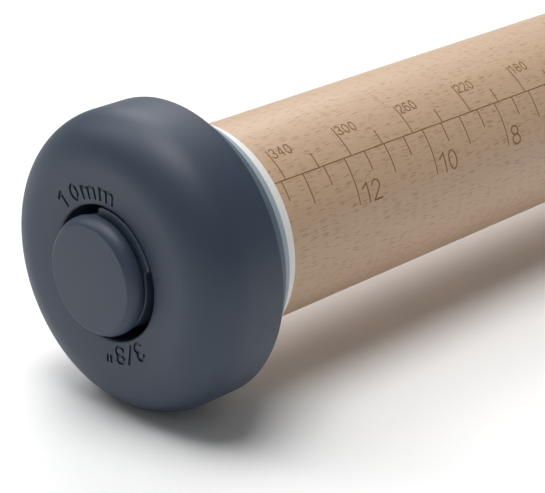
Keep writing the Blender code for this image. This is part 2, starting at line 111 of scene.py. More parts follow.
def lathe(profile, sides, closed=True):
    # Turns a (radius, height) profile about Z; a point on the axis becomes a pole
    bm = bmesh.new()
    rings = []
    for radius, height in profile:
        onAxis = radius < 1e-7
        angles = [2 * math.pi * i / sides for i in range(1 if onAxis else sides)]
        points = [(radius * math.cos(a), radius * math.sin(a), height) for a in angles]
        rings.append([bm.verts.new((0, 0, height) if onAxis else point) for point in points])
    pairs = list(zip(rings, rings[1:]))
    if closed:
        pairs.append((rings[-1], rings[0]))
    for first, second in pairs:
        for i in range(sides):
            j = (i + 1) % sides
            corners = [first[i % len(first)], first[j % len(first)]]
            corners += [second[j % len(second)], second[i % len(second)]]
            corners = list(dict.fromkeys(corners))
            if len(corners) > 2:
                bm.faces.new(corners)
    bmesh.ops.recalc_face_normals(bm, faces=bm.faces)
    return bm


def turnedPiece(name, outline, sides, closed=True, paint=None):
    return newPiece(name, meshFrom(lathe(outline, sides, closed), name), paint)


def lofted(name, lower, upper):
    # A closed solid between two outlines with equally many corners
    bm = bmesh.new()
    ends = [[bm.verts.new(point) for point in outline] for outline in (lower, upper)]
    for end in ends:
        bm.faces.new(end)
    for i in range(len(lower)):
        j = (i + 1) % len(lower)
        bm.faces.new((ends[0][j], ends[0][i], ends[1][i], ends[1][j]))
    bmesh.ops.recalc_face_normals(bm, faces=bm.faces)
    return newPiece(name, meshFrom(bm, name))


def bake(piece):
    # Turns the piece's modifiers into its plain mesh
    bpy.context.view_layer.update()
    shown = piece.evaluated_get(bpy.context.evaluated_depsgraph_get())
    mesh = bpy.data.meshes.new_from_object(shown)
    piece.modifiers.clear()
    piece.data = mesh
    return piece


def combine(piece, other, operation, overlapping=False):
    # Changes the piece by another one, which is used up
    step = piece.modifiers.new("combine", "BOOLEAN")
    step.operation = operation
    step.object = other
    step.solver = "EXACT"
    step.use_self = overlapping
    if operation == "DIFFERENCE":
        step.material_mode = "TRANSFER"
    bake(piece)
    bpy.data.objects.remove(other, do_unlink=True)
    return piece


def cut(piece, cutter, overlapping=False):
    return combine(piece, cutter, "DIFFERENCE", overlapping)


def smoothed(piece, angle=None):
    piece.data.shade_smooth()
    piece.data.set_sharp_from_angle(angle=angle or pin["sharpAngle"])
    return piece


def setNormals(piece, normalAt):
    # Keeps a turned surface smooth round what is cut into it. normalAt gives None away from it
    mesh = piece.data
    normals = [(0.0, 0.0, 0.0)] * len(mesh.loops)
    for face in mesh.polygons:
        found = [normalAt(mesh.vertices[i].co, face) for i in face.vertices]
        if all(normal is not None for normal in found):
            for loop, normal in zip(face.loop_indices, found):
                normals[loop] = normal
    mesh.normals_split_custom_set(normals)
    return piece


def atBothEnds(*masters):
    # A copy of each finished piece at each end, in place of that end's solid. Each is given as
    # the piece, its name, the solid's node, the body that it rides on and the material slot, which
    # is not used
    for side in ("left", "right"):
        for master, name, node, body, slotName in masters:
            piece = newPiece(side + name, master.data.copy())
            piece.data.name = side + name
            piece.data.transform(endMatrix(side))
            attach(piece, body.format(side))
            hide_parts(side + "_" + node)
    for master, *_ in masters:
        bpy.data.objects.remove(master, do_unlink=True)


# Node trees. An input takes a value, a socket, or a node whose first output is meant

number = "NodeSocketFloat"


def fill(tree, node, inputs):
    for key, value in inputs.items():
        if isinstance(value, bpy.types.Node):
            value = value.outputs[0]
        if isinstance(value, bpy.types.NodeSocket):
            tree.links.new(value, node.inputs[key])
        else:
            node.inputs[key].default_value = value


def addNode(tree, kind, place, inputs=None, **settings):
    node = tree.nodes.new(kind)
    node.location = place
    for key, value in settings.items():
        setattr(node, key, value)
    fill(tree, node, inputs or {})
    return node


def newTree(name, kind, inputs, outputs):
    # An input's default gives its kind; where it has no default, the kind stands in its place
    tree = bpy.data.node_groups.new(name, kind)
    kinds = {float: number, int: "NodeSocketInt"}
    for socketName, value in inputs.items():
        socketKind = kinds.get(type(value), value)
        socket = tree.interface.new_socket(socketName, in_out="INPUT", socket_type=socketKind)
        if socketKind != value:
            socket.default_value = value
    for socketName, socketKind in outputs.items():
        tree.interface.new_socket(socketName, in_out="OUTPUT", socket_type=socketKind)
    given = addNode(tree, "NodeGroupInput", (-1700, 0)).outputs
    return tree, given, addNode(tree, "NodeGroupOutput", (900, 0))


def objectPlace(tree, place):
    return addNode(tree, "ShaderNodeTexCoord", place).outputs["Object"]


def maths(tree, place, operation, *values):
    return addNode(tree, "ShaderNodeMath", place, dict(enumerate(values)), operation=operation)


def vectorMaths(tree, place, operation, *values):
    inputs = dict(enumerate(values))
    return addNode(tree, "ShaderNodeVectorMath", place, inputs, operation=operation)


def noise(tree, place, vector, scale, detail):
    inputs = {"Vector": vector, "Scale": scale, "Detail": detail}
    return addNode(tree, "ShaderNodeTexNoise", place, inputs)


def ranged(tree, place, value, low, high, least=0.0, most=1.0, **settings):
    inputs = {"Value": value, "From Min": low, "From Max": high, "To Min": least, "To Max": most}
    return addNode(tree, "ShaderNodeMapRange", place, inputs, **settings)


def makeMouldedGrain():
    # Fine spark-eroded skin of a moulding: height for bump, and a roughness that wanders a little
    broadScale = 45.0
    group, given, end = newTree(
        "mouldedGrain", "ShaderNodeTree",
        {"Grain Size": 0.25 * mm, "Roughness": 0.45, "Variation": 0.05},
        {"Height": number, "Roughness": number, "Tone": number},
    )
    place = objectPlace(group, (-900, 300))
    scale = maths(group, (-700, 100), "DIVIDE", 1.0, given["Grain Size"])
    fine = noise(group, (-450, 250), place, scale, 2.0)
    broad = noise(group, (-450, -50), place, broadScale, 3.0)
    centred = maths(group, (-200, -50), "SUBTRACT", broad, 0.5)
    spread, middle = given["Variation"], given["Roughness"]
    wander = maths(group, (0, -50), "MULTIPLY_ADD", centred, spread, middle)
    fill(group, end, {"Height": fine, "Roughness": wander, "Tone": broad})
    return group


def makeEdgeWear():
    # 0 on flat surfaces, rising to 1 where an edge is rubbed, broken up by a fine noise
    patchScale = 900.0
    group, given, end = newTree(
        "edgeWear", "ShaderNodeTree", {"Width": 0.4 * mm, "Amount": 1.0}, {"Wear": number},
    )
    normal = addNode(group, "ShaderNodeNewGeometry", (-700, 200)).outputs["Normal"]
    bevel = addNode(group, "ShaderNodeBevel", (-700, 0), {"Radius": given["Width"]}, samples=4)
    match = vectorMaths(group, (-500, 100), "DOT_PRODUCT", normal, bevel)
    edge = ranged(group, (-300, 100), match.outputs["Value"], 0.995, 0.93)
    broken = noise(group, (-500, -250), objectPlace(group, (-700, -250)), patchScale, 4.0)
    patchy = ranged(group, (-300, -250), broken, 0.35, 0.65)
    both = maths(group, (-50, 0), "MULTIPLY", edge, patchy)
    wear = maths(group, (150, 0), "MULTIPLY", both, given["Amount"])
    fill(group, end, {"Wear": wear})
    return group


def makeBeechGrain():
    # Beech seen on its side: soft growth bands, and short dark ray flecks that lie along X
    swirlScale = 260.0
    bandScale, fibreScale = (9.0, 110.0, 110.0), (160.0, 2600.0, 2600.0)
    group, given, end = newTree(
        "beechGrain", "ShaderNodeTree",
        {"Fleck Length": 2.6 * mm, "Fleck Width": 0.42 * mm, "Waviness": 0.5 * mm},
        {"Bands": number, "Flecks": number, "Fibres": number},
    )
    place = objectPlace(group, (-1500, 0))
    swirl = noise(group, (-1300, -200), place, swirlScale, 1.0).outputs["Color"]
    middle = vectorMaths(group, (-1100, -200), "SUBTRACT", swirl, (0.5, 0.5, 0.5))
    sway = vectorMaths(group, (-950, -200), "SCALE", middle)
    fill(group, sway, {"Scale": given["Waviness"]})
    warped = vectorMaths(group, (-800, 0), "ADD", place, sway)
    # Cells as long as a fleck along X and as wide as a fleck across
    length, width = given["Fleck Length"], given["Fleck Width"]
    sizes = {"X": length, "Y": width, "Z": width}
    cell = addNode(group, "ShaderNodeCombineXYZ", (-800, 250), sizes)
    cells = vectorMaths(group, (-600, 100), "DIVIDE", warped, cell)
    fleck = addNode(group, "ShaderNodeTexVoronoi", (-400, 200), {"Vector": cells, "Scale": 1.0})
    shape = ranged(group, (-200, 200), fleck.outputs["Distance"], 0.5, 0.2)
    colour = {"Color": fleck.outputs["Color"]}
    pick = addNode(group, "ShaderNodeSeparateColor", (-200, -50), colour)
    chosen = ranged(group, (0, -50), pick.outputs["Red"], 0.3, 0.9)
    shown = maths(group, (200, 150), "MULTIPLY", shape, chosen)
    # Growth bands and fibres are noise drawn out along X
    drawn = []
    for y, scale, detail in ((-350, bandScale, 3.0), (-650, fibreScale, 2.0)):
        inputs = {"Vector": warped, "Scale": scale}
        squeezed = addNode(group, "ShaderNodeMapping", (-600, y), inputs)
        drawn.append(noise(group, (-400, y), squeezed, 1.0, detail))
    fill(group, end, {"Bands": drawn[0], "Flecks": shown, "Fibres": drawn[1]})
    return group


mouldedGrain = makeMouldedGrain()
edgeWear = makeEdgeWear()
beechGrain = makeBeechGrain()


# Materials

def newMaterial(name):
    material = bpy.data.materials.new(name)
    material.use_nodes = True
    tree = material.node_tree
    tree.nodes.clear()
    shader = addNode(tree, "ShaderNodeBsdfPrincipled", (300, 0))
    addNode(tree, "ShaderNodeOutputMaterial", (600, 0), {"Surface": shader})
    return material, tree, shader


def mixColours(tree, place, factor, first, second):
    mix = addNode(tree, "ShaderNodeMix", place, {"Factor": factor}, data_type="RGBA")
    sockets = [i for i, socket in enumerate(mix.inputs) if socket.type == "RGBA"]
    for i, value in zip(sockets, (first, second)):
        fill(tree, mix, {i: (*value, 1.0) if isinstance(value, tuple) else value})
    return [socket for socket in mix.outputs if socket.type == "RGBA"][0]


def bumpNode(tree, height, strength, distance):
    inputs = {"Strength": strength, "Distance": distance, "Height": height}
    return addNode(tree, "ShaderNodeBump", (0, -250), inputs)


def makeSurface(name, kind, look):
    # A plastic or a metal: its tone wanders, its edges are rubbed and its skin is grained
    material, tree, shader = newMaterial(name)
    grain = addNode(tree, "ShaderNodeGroup", (-700, -100), node_tree=mouldedGrain)
    fill(tree, grain, {
        "Grain Size": look["grain"],
        "Roughness": look["roughness"],
        "Variation": kind["variation"],
    })
    wear = addNode(tree, "ShaderNodeGroup", (-700, 200), node_tree=edgeWear)
    fill(tree, wear, {"Width": kind["wearWidth"], "Amount": look["wear"]})
    dark, light = (tuple(c * kind[key] for c in look["colour"]) for key in ("dark", "light"))
    toned = mixColours(tree, (-400, 250), grain.outputs["Tone"], dark, light)
    worn = tuple(kind["worn"](c) for c in look["colour"])
    fill(tree, shader, {
        "Base Color": mixColours(tree, (-150, 250), wear, toned, worn),
        "Metallic": kind["metallic"],
        "Roughness": grain.outputs["Roughness"],
        "Normal": bumpNode(tree, grain.outputs["Height"], look["bump"], kind["relief"]),
    })
    return material


def grainIn(tree, place, length, width, waviness):
    inputs = {"Fleck Length": length, "Fleck Width": width, "Waviness": waviness}
    return addNode(tree, "ShaderNodeGroup", place, inputs, node_tree=beechGrain)


def makeBeech(look):
    material, tree, shader = newMaterial("oiledBeech")
    grain = grainIn(tree, (-900, 0), look["fleckLength"], look["fleckWidth"], look["waviness"])
    bands, flecks, fibres = (grain.outputs[key] for key in ("Bands", "Flecks", "Fibres"))
    banded = mixColours(tree, (-600, 200), bands, look["light"], look["dark"])
    low, high = (look["roughness"] + look["roughnessSpread"] * way for way in (-1, 1))
    relief = maths(tree, (-350, -350), "SUBTRACT", fibres, flecks)
    fill(tree, shader, {
        "Base Color": mixColours(tree, (-350, 200), flecks, banded, look["fleck"]),
        "Coat Weight": look["sheen"],
        "Coat Roughness": look["sheenRoughness"],
        "Roughness": ranged(tree, (-350, -100), fibres, 0.0, 1.0, low, high),
        "Normal": bumpNode(tree, relief, look["bump"], look["relief"]),
    })
    return material


def makeScorched(look):
    # The bottom of the engraved marks: scorched wood, darker where the fibres stand up
    material, tree, shader = newMaterial("scorchedMarks")
    grain = grainIn(tree, (-700, 0), look["fleckLength"], look["fleckWidth"], look["waviness"])
    fibres = grain.outputs["Fibres"]
    fill(tree, shader, {
        "Base Color": mixColours(tree, (-350, 200), fibres, look["dark"], look["light"]),
        "Roughness": look["roughness"],
        "Normal": bumpNode(tree, fibres, look["bump"], look["relief"]),
    })
    return material


plastic = {
    "variation": 0.1, "wearWidth": 0.35 * mm, "dark": 0.95, "light": 1.05,
    "worn": lambda c: c + (1 - c) * 0.16, "metallic": 0.0, "relief": 0.02 * mm,
}
metal = {
    "variation": 0.15, "wearWidth": 0.2 * mm, "dark": 0.9, "light": 1.0,
    "worn": lambda c: min(1.0, c * 1.12), "metallic": 1.0, "relief": 0.01 * mm,
}
# Name: kind, colour, roughness, grain size, bump, wear
surfaces = {
    "slatePlastic": (plastic, (0.035, 0.052, 0.083), 0.5, 0.22 * mm, 0.25, 0.5),
    "midBluePlastic": (plastic, (0.11, 0.15, 0.195), 0.45, 0.22 * mm, 0.25, 0.4),
    "lightBluePlastic": (plastic, (0.36, 0.43, 0.48), 0.45, 0.22 * mm, 0.25, 0.3),
    "whitePlastic": (plastic, (0.87, 0.86, 0.85), 0.45, 0.22 * mm, 0.2, 0.0),
    "hubPlastic": (plastic, (0.24, 0.25, 0.27), 0.5, 0.25 * mm, 0.3, 0.4),
    "washerPlastic": (plastic, (0.02, 0.021, 0.024), 0.35, 0.3 * mm, 0.15, 0.3),
    "turnedSteel": (metal, (0.6, 0.6, 0.61), 0.3, 0.15 * mm, 0.2, 0.7),
    "plainBrass": (metal, (0.75, 0.55, 0.25), 0.35, 0.15 * mm, 0.2, 0.7),
}
beechLook = {
    "light": (0.63, 0.445, 0.295),
    "dark": (0.525, 0.355, 0.228),
    "fleck": (0.35, 0.2, 0.112),
    "fleckLength": 3.2 * mm,
    "fleckWidth": 0.27 * mm,
    "waviness": 0.7 * mm,
    "roughness": 0.5,
    "roughnessSpread": 0.06,
    "sheen": 0.28,
    "sheenRoughness": 0.36,
    "bump": 0.3,
    "relief": 0.03 * mm,
}
scorchLook = {
    "dark": (0.23, 0.115, 0.04),
    "light": (0.38, 0.205, 0.08),
    "fleckLength": 1.2 * mm,
    "fleckWidth": 0.3 * mm,
    "waviness": 0.3 * mm,
    "roughness": 0.85,
    "bump": 0.3,
    "relief": 0.03 * mm,
}
materials = {}
for name, (kind, *values) in surfaces.items():
    look = dict(zip(("colour", "roughness", "grain", "bump", "wear"), values))
    materials[name] = makeSurface(name, kind, look)
materials["beech"] = makeBeech(beechLook)
materials["scorch"] = makeScorched(scorchLook)
print("materials made:", len(materials))


# Geometry Nodes trees for what repeats

geometryOut = {"Geometry": "NodeSocketGeometry"}


def painted(tree, geometry, given, end):
    inputs = {"Geometry": geometry, "Material": given["Material"]}
    fill(tree, end, {"Geometry": addNode(tree, "GeometryNodeSetMaterial", (600, 100), inputs)})
    return tree


def makeTickTree():
    # A row of equal marks: arcs round the roller, swept by a small rectangle, one at each step
    tree, given, end = newTree("scaleTicks", "GeometryNodeTree", {
        "Radius": 0.022,
        "First Place": 0.0,
        "Spacing": 0.01,
        "Count": 10,
        "Start Angle": 0.0,
        "Sweep Angle": 0.3,
        "Line Width": 0.3 * mm,
        "Line Depth": 0.3 * mm,
        "Axis Height": 0.032,
        "Material": "NodeSocketMaterial",
    }, geometryOut)
    arc = addNode(tree, "GeometryNodeCurveArc", (-700, 300), {
        "Resolution": 16,
        "Radius": given["Radius"],
        "Start Angle": given["Start Angle"],
        "Sweep Angle": given["Sweep Angle"],
    })
    section = addNode(tree, "GeometryNodeCurvePrimitiveQuadrilateral", (-700, -100), {
        "Width": given["Line Depth"],
        "Height": given["Line Width"],
    })
    sweep = addNode(tree, "GeometryNodeCurveToMesh", (-450, 200), {
        "Curve": arc,
        "Profile Curve": section,
        "Fill Caps": True,
    })
    # The arc is drawn about Z; this turns its plane square to X, with angle 0 straight up
    upright = addNode(tree, "GeometryNodeTransform", (-200, 200), {
        "Geometry": sweep,
        "Rotation": (0.0, -math.pi / 2, 0.0),
    })
    start = {"X": given["First Place"], "Z": given["Axis Height"]}
    places = addNode(tree, "GeometryNodeMeshLine", (-200, -150), {
        "Count": given["Count"],
        "Start Location": addNode(tree, "ShaderNodeCombineXYZ", (-450, -150), start),
        "Offset": addNode(tree, "ShaderNodeCombineXYZ", (-450, -300), {"X": given["Spacing"]}),
    })
    inputs = {"Points": places, "Instance": upright}
    copies = addNode(tree, "GeometryNodeInstanceOnPoints", (100, 100), inputs)
    real = addNode(tree, "GeometryNodeRealizeInstances", (350, 100), {"Geometry": copies})
    return painted(tree, real, given, end)


def makeRingTree():
    # Copies of one piece, evenly spaced about Z at a distance from it
    tree, given, end = newTree("ringOfCopies", "GeometryNodeTree", {
        "Piece": "NodeSocketObject",
        "Count": 8,
        "Distance": 0.01,
        "Height": 0.0,
        "Material": "NodeSocketMaterial",
    }, geometryOut)
    source = addNode(tree, "GeometryNodeObjectInfo", (-700, 200), {"Object": given["Piece"]})
    ring = addNode(tree, "GeometryNodeMeshCircle", (-700, -100), {
        "Vertices": given["Count"],
        "Radius": given["Distance"],
    })
    index = addNode(tree, "GeometryNodeInputIndex", (-700, -350))
    share = maths(tree, (-500, -350), "DIVIDE", index, given["Count"])
    angle = maths(tree, (-300, -350), "MULTIPLY", share, 2 * math.pi)
    copies = addNode(tree, "GeometryNodeInstanceOnPoints", (100, 100), {
        "Points": ring,
        "Instance": source.outputs["Geometry"],
        "Rotation": addNode(tree, "ShaderNodeCombineXYZ", (-100, -350), {"Z": angle}),
    })
    real = addNode(tree, "GeometryNodeRealizeInstances", (350, 100), {"Geometry": copies})
    height = addNode(tree, "ShaderNodeCombineXYZ", (100, -200), {"Z": given["Height"]})
    inputs = {"Geometry": real, "Translation": height}
    raised = addNode(tree, "GeometryNodeTransform", (350, -100), inputs)
    return painted(tree, raised, given, end)


def grown(name, tree, values):
    # A plain mesh piece from a tree, its inputs set by their identifiers
    piece = newPiece(name, bpy.data.meshes.new(name))
    step = piece.modifiers.new("grow", "NODES")
    step.node_group = tree
    for item in tree.interface.items_tree:
        if item.item_type == "SOCKET" and item.in_out == "INPUT" and item.name in values:
            step[item.identifier] = values[item.name]
    return bake(piece)


def ringOf(piece, name, count, distance, height, paint):
    ring = grown(name, ringTree, {
        "Piece": piece,
        "Count": count,
        "Distance": distance,
        "Height": height,
        "Material": materials[paint],
    })
    bpy.data.objects.remove(piece, do_unlink=True)
    return ring


tickTree = makeTickTree()
ringTree = makeRingTree()


# Engraved figures

def oval(x, y, across, up, start, end, steps=14):
    angles = [math.radians(start + (end - start) * i / steps) for i in range(steps + 1)]
    return [(x + across * math.cos(a), y + up * math.sin(a)) for a in angles]


# Centre lines of the figures, in shares of their height
strokes = {
    "0": [oval(0.24, 0.5, 0.24, 0.5, 0, 360, 28)],
    "1": [[(0.0, 0.78), (0.28, 1.0)], [(0.28, 1.0), (0.28, 0.0)]],
    "2": [oval(0.23, 0.73, 0.22, 0.27, 165, -35) + [(0.0, 0.0), (0.46, 0.0)]],
    "3": [
        oval(0.24, 0.755, 0.22, 0.245, 160, -90)
        + oval(0.24, 0.255, 0.27, 0.255, 90, -160)[1:],
    ],
    "4": [[(0.36, 1.0), (0.0, 0.28), (0.5, 0.28)], [(0.36, 0.0), (0.36, 1.0)]],
    "6": [oval(0.25, 0.5, 0.25, 0.5, 50, 180) + oval(0.24, 0.3, 0.24, 0.3, 180, 540, 28)],
    "8": [
        oval(0.26, 0.76, 0.22, 0.24, 0, 360, 24),
        oval(0.26, 0.26, 0.26, 0.26, 0, 360, 24),
    ],
    "m": [
        [(0.0, 0.0), (0.0, 0.76)],
        oval(0.235, 0.52, 0.235, 0.24, 180, 0) + [(0.47, 0.0)],
        oval(0.705, 0.52, 0.235, 0.24, 180, 0) + [(0.94, 0.0)],
    ],
    "/": [[(0.02, 0.0), (0.42, 1.02)]],
    "\"": [[(0.13, 1.0), (0.13, 0.7)], [(0.35, 1.0), (0.35, 0.7)]],
}


def isSame(first, second):
    return (Vector(first) - Vector(second)).length < 1e-9


def withEnds(line, width, later):
    # Draws the open ends out by half the width, unless a later line starts or stops there
    line = [Vector(point) for point in line]
    if isSame(line[0], line[-1]):
        return line
    for end, inner in ((0, 1), (-1, -2)):
        if not any(isSame(line[end], point) for other in later for point in other):
            line[end] += (line[end] - line[inner]).normalized() * width / 2
    return line


def ribbon(bm, line, width, cell):
    # Lays a flat strip of faces along a line, its corners mitred, in pieces no longer than a cell
    points = [Vector(line[0])]
    for corner in line[1:]:
        start = points[-1]
        way = Vector(corner) - start
        pieces = max(1, math.ceil(way.length / cell))
        points += [start + way * (k / pieces) for k in range(1, pieces + 1)]
    closed = isSame(points[0], points[-1])
    sides = []
    last = len(points) - 1
    for i, point in enumerate(points):
        before = points[i - 1] if i > 0 else points[last - 1] if closed else None
        after = points[i + 1] if i < last else points[1] if closed else None
        ways = (before and point - before, after and after - point)
        ways = [way.normalized() for way in ways if way]
        along = sum(ways, Vector((0, 0))).normalized()
        reach = width / 2 / max(0.5, along.dot(ways[0]))
        across = Vector((-along.y, along.x)) * reach
        sides.append([bm.verts.new((*(point + across * way), 0)) for way in (1, -1)])
    for here, there in zip(sides, sides[1:]):
        bm.faces.new((here[1], there[1], there[0], here[0]))
    if closed:
        for first, final in zip(sides[0], sides[-1]):
            bmesh.ops.weld_verts(bm, targetmap={final: first})


def flatText(text, look):
    # The figures' strokes as flat strips, standing on Y = 0 and starting at X = 0, and their width
    bm = bmesh.new()
    stroke = look["stroke"]
    size = look["height"] - stroke
    wide = size * look["stretch"]
    x = stroke / 2
    for letter in text:
        lines = strokes[letter]
        placed = [[(x + px * wide, stroke / 2 + py * size) for px, py in line] for line in lines]
        for i, line in enumerate(placed):
            ribbon(bm, withEnds(line, stroke, placed[i + 1:]), stroke, look["cell"])
        right = max(px for line in lines for px, py in line)
        if letter == "1":
            right = look["oneWidth"]
        x += right * wide + stroke + look["gap"]
    bm.normal_update()
    return bm, x - look["gap"] - stroke / 2


def wrapped(bm, name, place, depth, rise, paint):
    # Thickens the flat strips and lays them on a surface with place(x, y, height)
    top = bmesh.ops.extrude_face_region(bm, geom=bm.faces[:])["geom"]
    raised = {v for v in top if isinstance(v, bmesh.types.BMVert)}
    for vertex in bm.verts:
        height = rise if vertex in raised else -depth
        vertex.co = place(vertex.co.x, vertex.co.y, height)
    bmesh.ops.recalc_face_normals(bm, faces=bm.faces)
    return newPiece(name, meshFrom(bm, name), paint)


# Beech roller with its engraved scale

hub = {
    "play": 0.3 * mm,
    "spigotRadius": 9.5 * mm,
    "spigotEdge": 0.5 * mm,
    "flangeRadius": 19 * mm,
    "flangeThickness": 3 * mm,
    "flangeEdge": 0.4 * mm,
    "plugRadius": 9 * mm,
    "plugTaper": mm,
    "smallEdge": 0.3 * mm,
    "insertRadius": 6.2 * mm,
    "shoulderDepth": 2 * mm,
    "boltHole": 4.6 * mm,
    "pocketRadius": 7.7 * mm,
    "screwCircle": 14 * mm,
    "screwCount": 3,
    "sides": 112,
}
roller = {
    "sides": 160,
    "lengthStep": 8 * mm,
    "edgeRadius": 0.7 * mm,
    "baseAngle": math.radians(48.02),
    "lineWidth": 0.3 * mm,
    "baselineWidth": 0.24 * mm,
    "engravingDepth": 0.09 * mm,
    "figureRise": 0.3 * mm,
    "metricLong": 7.55 * mm,
    "metricShort": 3.6 * mm,
    "inchLong": 10.4 * mm,
    "inchMedium": 6.7 * mm,
    "inchShort": 4.4 * mm,
    "baselineHalf": 173.2 * mm,
    "metricFigures": {
        "height": 2.64 * mm, "top": 7.68 * mm, "start": 0.43 * mm, "stretch": 1.2,
        "stroke": 0.3 * mm, "gap": 0.43 * mm, "cell": 0.8 * mm, "oneWidth": 0.4,
    },
    "inchFigures": {
        "height": 4.57 * mm, "top": -6.21 * mm, "start": 1.5 * mm, "stretch": 1.22,
        "stroke": 0.4 * mm, "gap": 0.8 * mm, "cell": 0.8 * mm, "oneWidth": 0.33,
    },
}
# The scale reads the diameter of a round sheet, so a mark lies half its figure from the middle
halfMillimetre, halfInch = 0.5 * mm, 12.7 * mm
# First place, spacing, count, length: up from the baseline, or down where it is negative
tickRows = (
    (-340 * halfMillimetre, 40 * halfMillimetre, 18, roller["metricLong"]),
    (-320 * halfMillimetre, 40 * halfMillimetre, 17, roller["metricShort"]),
    (-12 * halfInch, 2 * halfInch, 13, -roller["inchLong"]),
    (-13 * halfInch, 2 * halfInch, 14, -roller["inchMedium"]),
    (-13.5 * halfInch, halfInch, 28, -roller["inchShort"]),
)
scaleFigures = (
    ("metricFigures", range(20, 341, 40), halfMillimetre),
    ("inchFigures", range(2, 13, 2), halfInch),
)


def onRoller(x, y, height):
    # y is measured round the surface, upwards from the scale's baseline
    angle = roller["baseAngle"] - y / pin["rollerRadius"]
    radius = pin["rollerRadius"] + height
    return Vector((x, -radius * math.sin(angle), pin["axisHeight"] + radius * math.cos(angle)))


def makeRollerBlank():
    half, radius, edge = pin["endX"], pin["rollerRadius"], roller["edgeRadius"]
    flange, plug = hub["flangeRadius"] + hub["play"], hub["plugRadius"] + hub["play"]
    recess = half - (hub["flangeThickness"] + hub["play"])
    bore = half - (hub["play"] - nodeSpan("end_hub")[0])
    end = [(0.0, bore), (plug, bore), (plug, recess), (flange, recess), (flange, half)]
    end += arcPoints((radius - edge, half - edge), edge, 90, 0, 5)
    steps = int((2 * half - 2 * edge) / roller["lengthStep"])
    middle = [(radius, (half - edge) * (1 - 2 * i / steps)) for i in range(1, steps)]
    outline = end + middle + [(r, -z) for r, z in reversed(end)]
    piece = turnedPiece("beechRoller", outline, roller["sides"], closed=False, paint="beech")
    lying = Matrix.Translation((0, 0, pin["axisHeight"])) @ Matrix.Rotation(math.pi / 2, 4, "Y")
    piece.data.transform(lying)
    return piece


def tickRow(first, spacing, count, length):
    return grown("tickRow", tickTree, {
        "Radius": pin["rollerRadius"],
        "First Place": first,
        "Spacing": spacing,
        "Count": count,
        "Start Angle": -roller["baseAngle"],
        "Sweep Angle": length / pin["rollerRadius"],
        "Line Width": roller["lineWidth"],
        "Line Depth": 2 * roller["engravingDepth"],
        "Axis Height": pin["axisHeight"],
        "Material": materials["scorch"],
    })


def makeBaseline():
    bm = bmesh.new()
    bmesh.ops.create_cube(bm, size=1.0)
    length, width = 2 * roller["baselineHalf"], roller["baselineWidth"]
    depth = 2 * roller["engravingDepth"]
    for vertex in bm.verts:
        x, y, z = vertex.co
        vertex.co = onRoller(x * length, y * width, z * depth)
    return newPiece("baseline", meshFrom(bm, "baseline"), "scorch")


def makeFigures():
    # All the figures as one cutter: millimetres above the baseline, inches below
    bm = bmesh.new()
    for kind, numbers, step in scaleFigures:
        look = roller[kind]
        bottom = look["top"] - look["height"]
        for value in numbers:
            for way in (-1, 1):
                start = way * value * step + look["start"]
                text = flatText(str(value), look)[0]
                place = lambda x, y, h, s=start, b=bottom: onRoller(s + x, b + y, h)
                figure = wrapped(
                    text, "figure", place, roller["engravingDepth"], roller["figureRise"], "scorch",
                )
                bm.from_mesh(figure.data)
                bpy.data.objects.remove(figure, do_unlink=True)
    return newPiece("figures", meshFrom(bm, "figures"), "scorch")


def rollerNormal(point, face):
    y, z = point.y, point.z - pin["axisHeight"]
    away = abs(math.hypot(y, z) - pin["rollerRadius"])
    if face.material_index != 0 or away > pin["surfaceTolerance"]:
        return None
    return Vector((0, y, z)).normalized()


def makeRoller():
    piece = cut(makeRollerBlank(), makeBaseline())
    for row in tickRows:
        cut(piece, tickRow(*row))
    cut(piece, makeFigures(), overlapping=True)
    return setNormals(smoothed(piece), rollerNormal)


beechRoller = makeRoller()
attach(beechRoller, "roller")
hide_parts("beech_roller")
print("roller made:", len(beechRoller.data.polygons), "faces")


# Outer disc

drum = {
    "radius": 32 * mm,
    "height": 19.15 * mm,
    "shoulderRadius": 9.9 * mm,
    "lipRadius": 78.2 * mm,
    "mouthRadius": 14.2 * mm,
    "mouthRounding": 0.55 * mm,
    "mouthDepth": 9.0 * mm,
    "backRounding": 0.8 * mm,
    "boreRadius": 9.8 * mm,
    "boreEdge": 0.3 * mm,
    "rimWall": 4.8 * mm,
    "shell": 3.0 * mm,
    "boreWall": 3.5 * mm,
    "mouthWall": 2.0 * mm,
    "floor": 3.2 * mm,
    "ribCount": 8,
    "ribThickness": 1.6 * mm,
    "ribRecess": 1.5 * mm,
    "ribOverlap": 0.6 * mm,
    "ribDistance": 0.01 * mm,
    "markDepth": 0.42 * mm,
    "markRise": 0.5 * mm,
    "metricMark": {
        "text": "10mm", "middle": -16.9, "low": 15.4 * mm, "height": 3.8 * mm, "stretch": 1.31,
        "stroke": 0.7 * mm, "gap": 0.96 * mm, "cell": 0.5 * mm, "oneWidth": 0.6,
    },
    "inchMark": {
        "text": "3/8\"", "middle": 159.9, "low": 15.1 * mm, "height": 4.1 * mm, "stretch": 1.34,
        "stroke": 0.66 * mm, "gap": 0.36 * mm, "cell": 0.5 * mm, "oneWidth": 0.4,
    },
}
crestRadius = drum["radius"] - drum["shoulderRadius"]
shoulder = (crestRadius, drum["height"] - drum["shoulderRadius"])


def faceCurve(radius):
    # The face is almost flat inside the crest and rounds off outside it
    return drum["lipRadius"] if radius <= crestRadius else drum["shoulderRadius"]


def faceHeight(radius):
    curve = faceCurve(radius)
    reach = radius - crestRadius
    return drum["height"] - curve + math.sqrt(max(curve ** 2 - reach ** 2, 0.0))


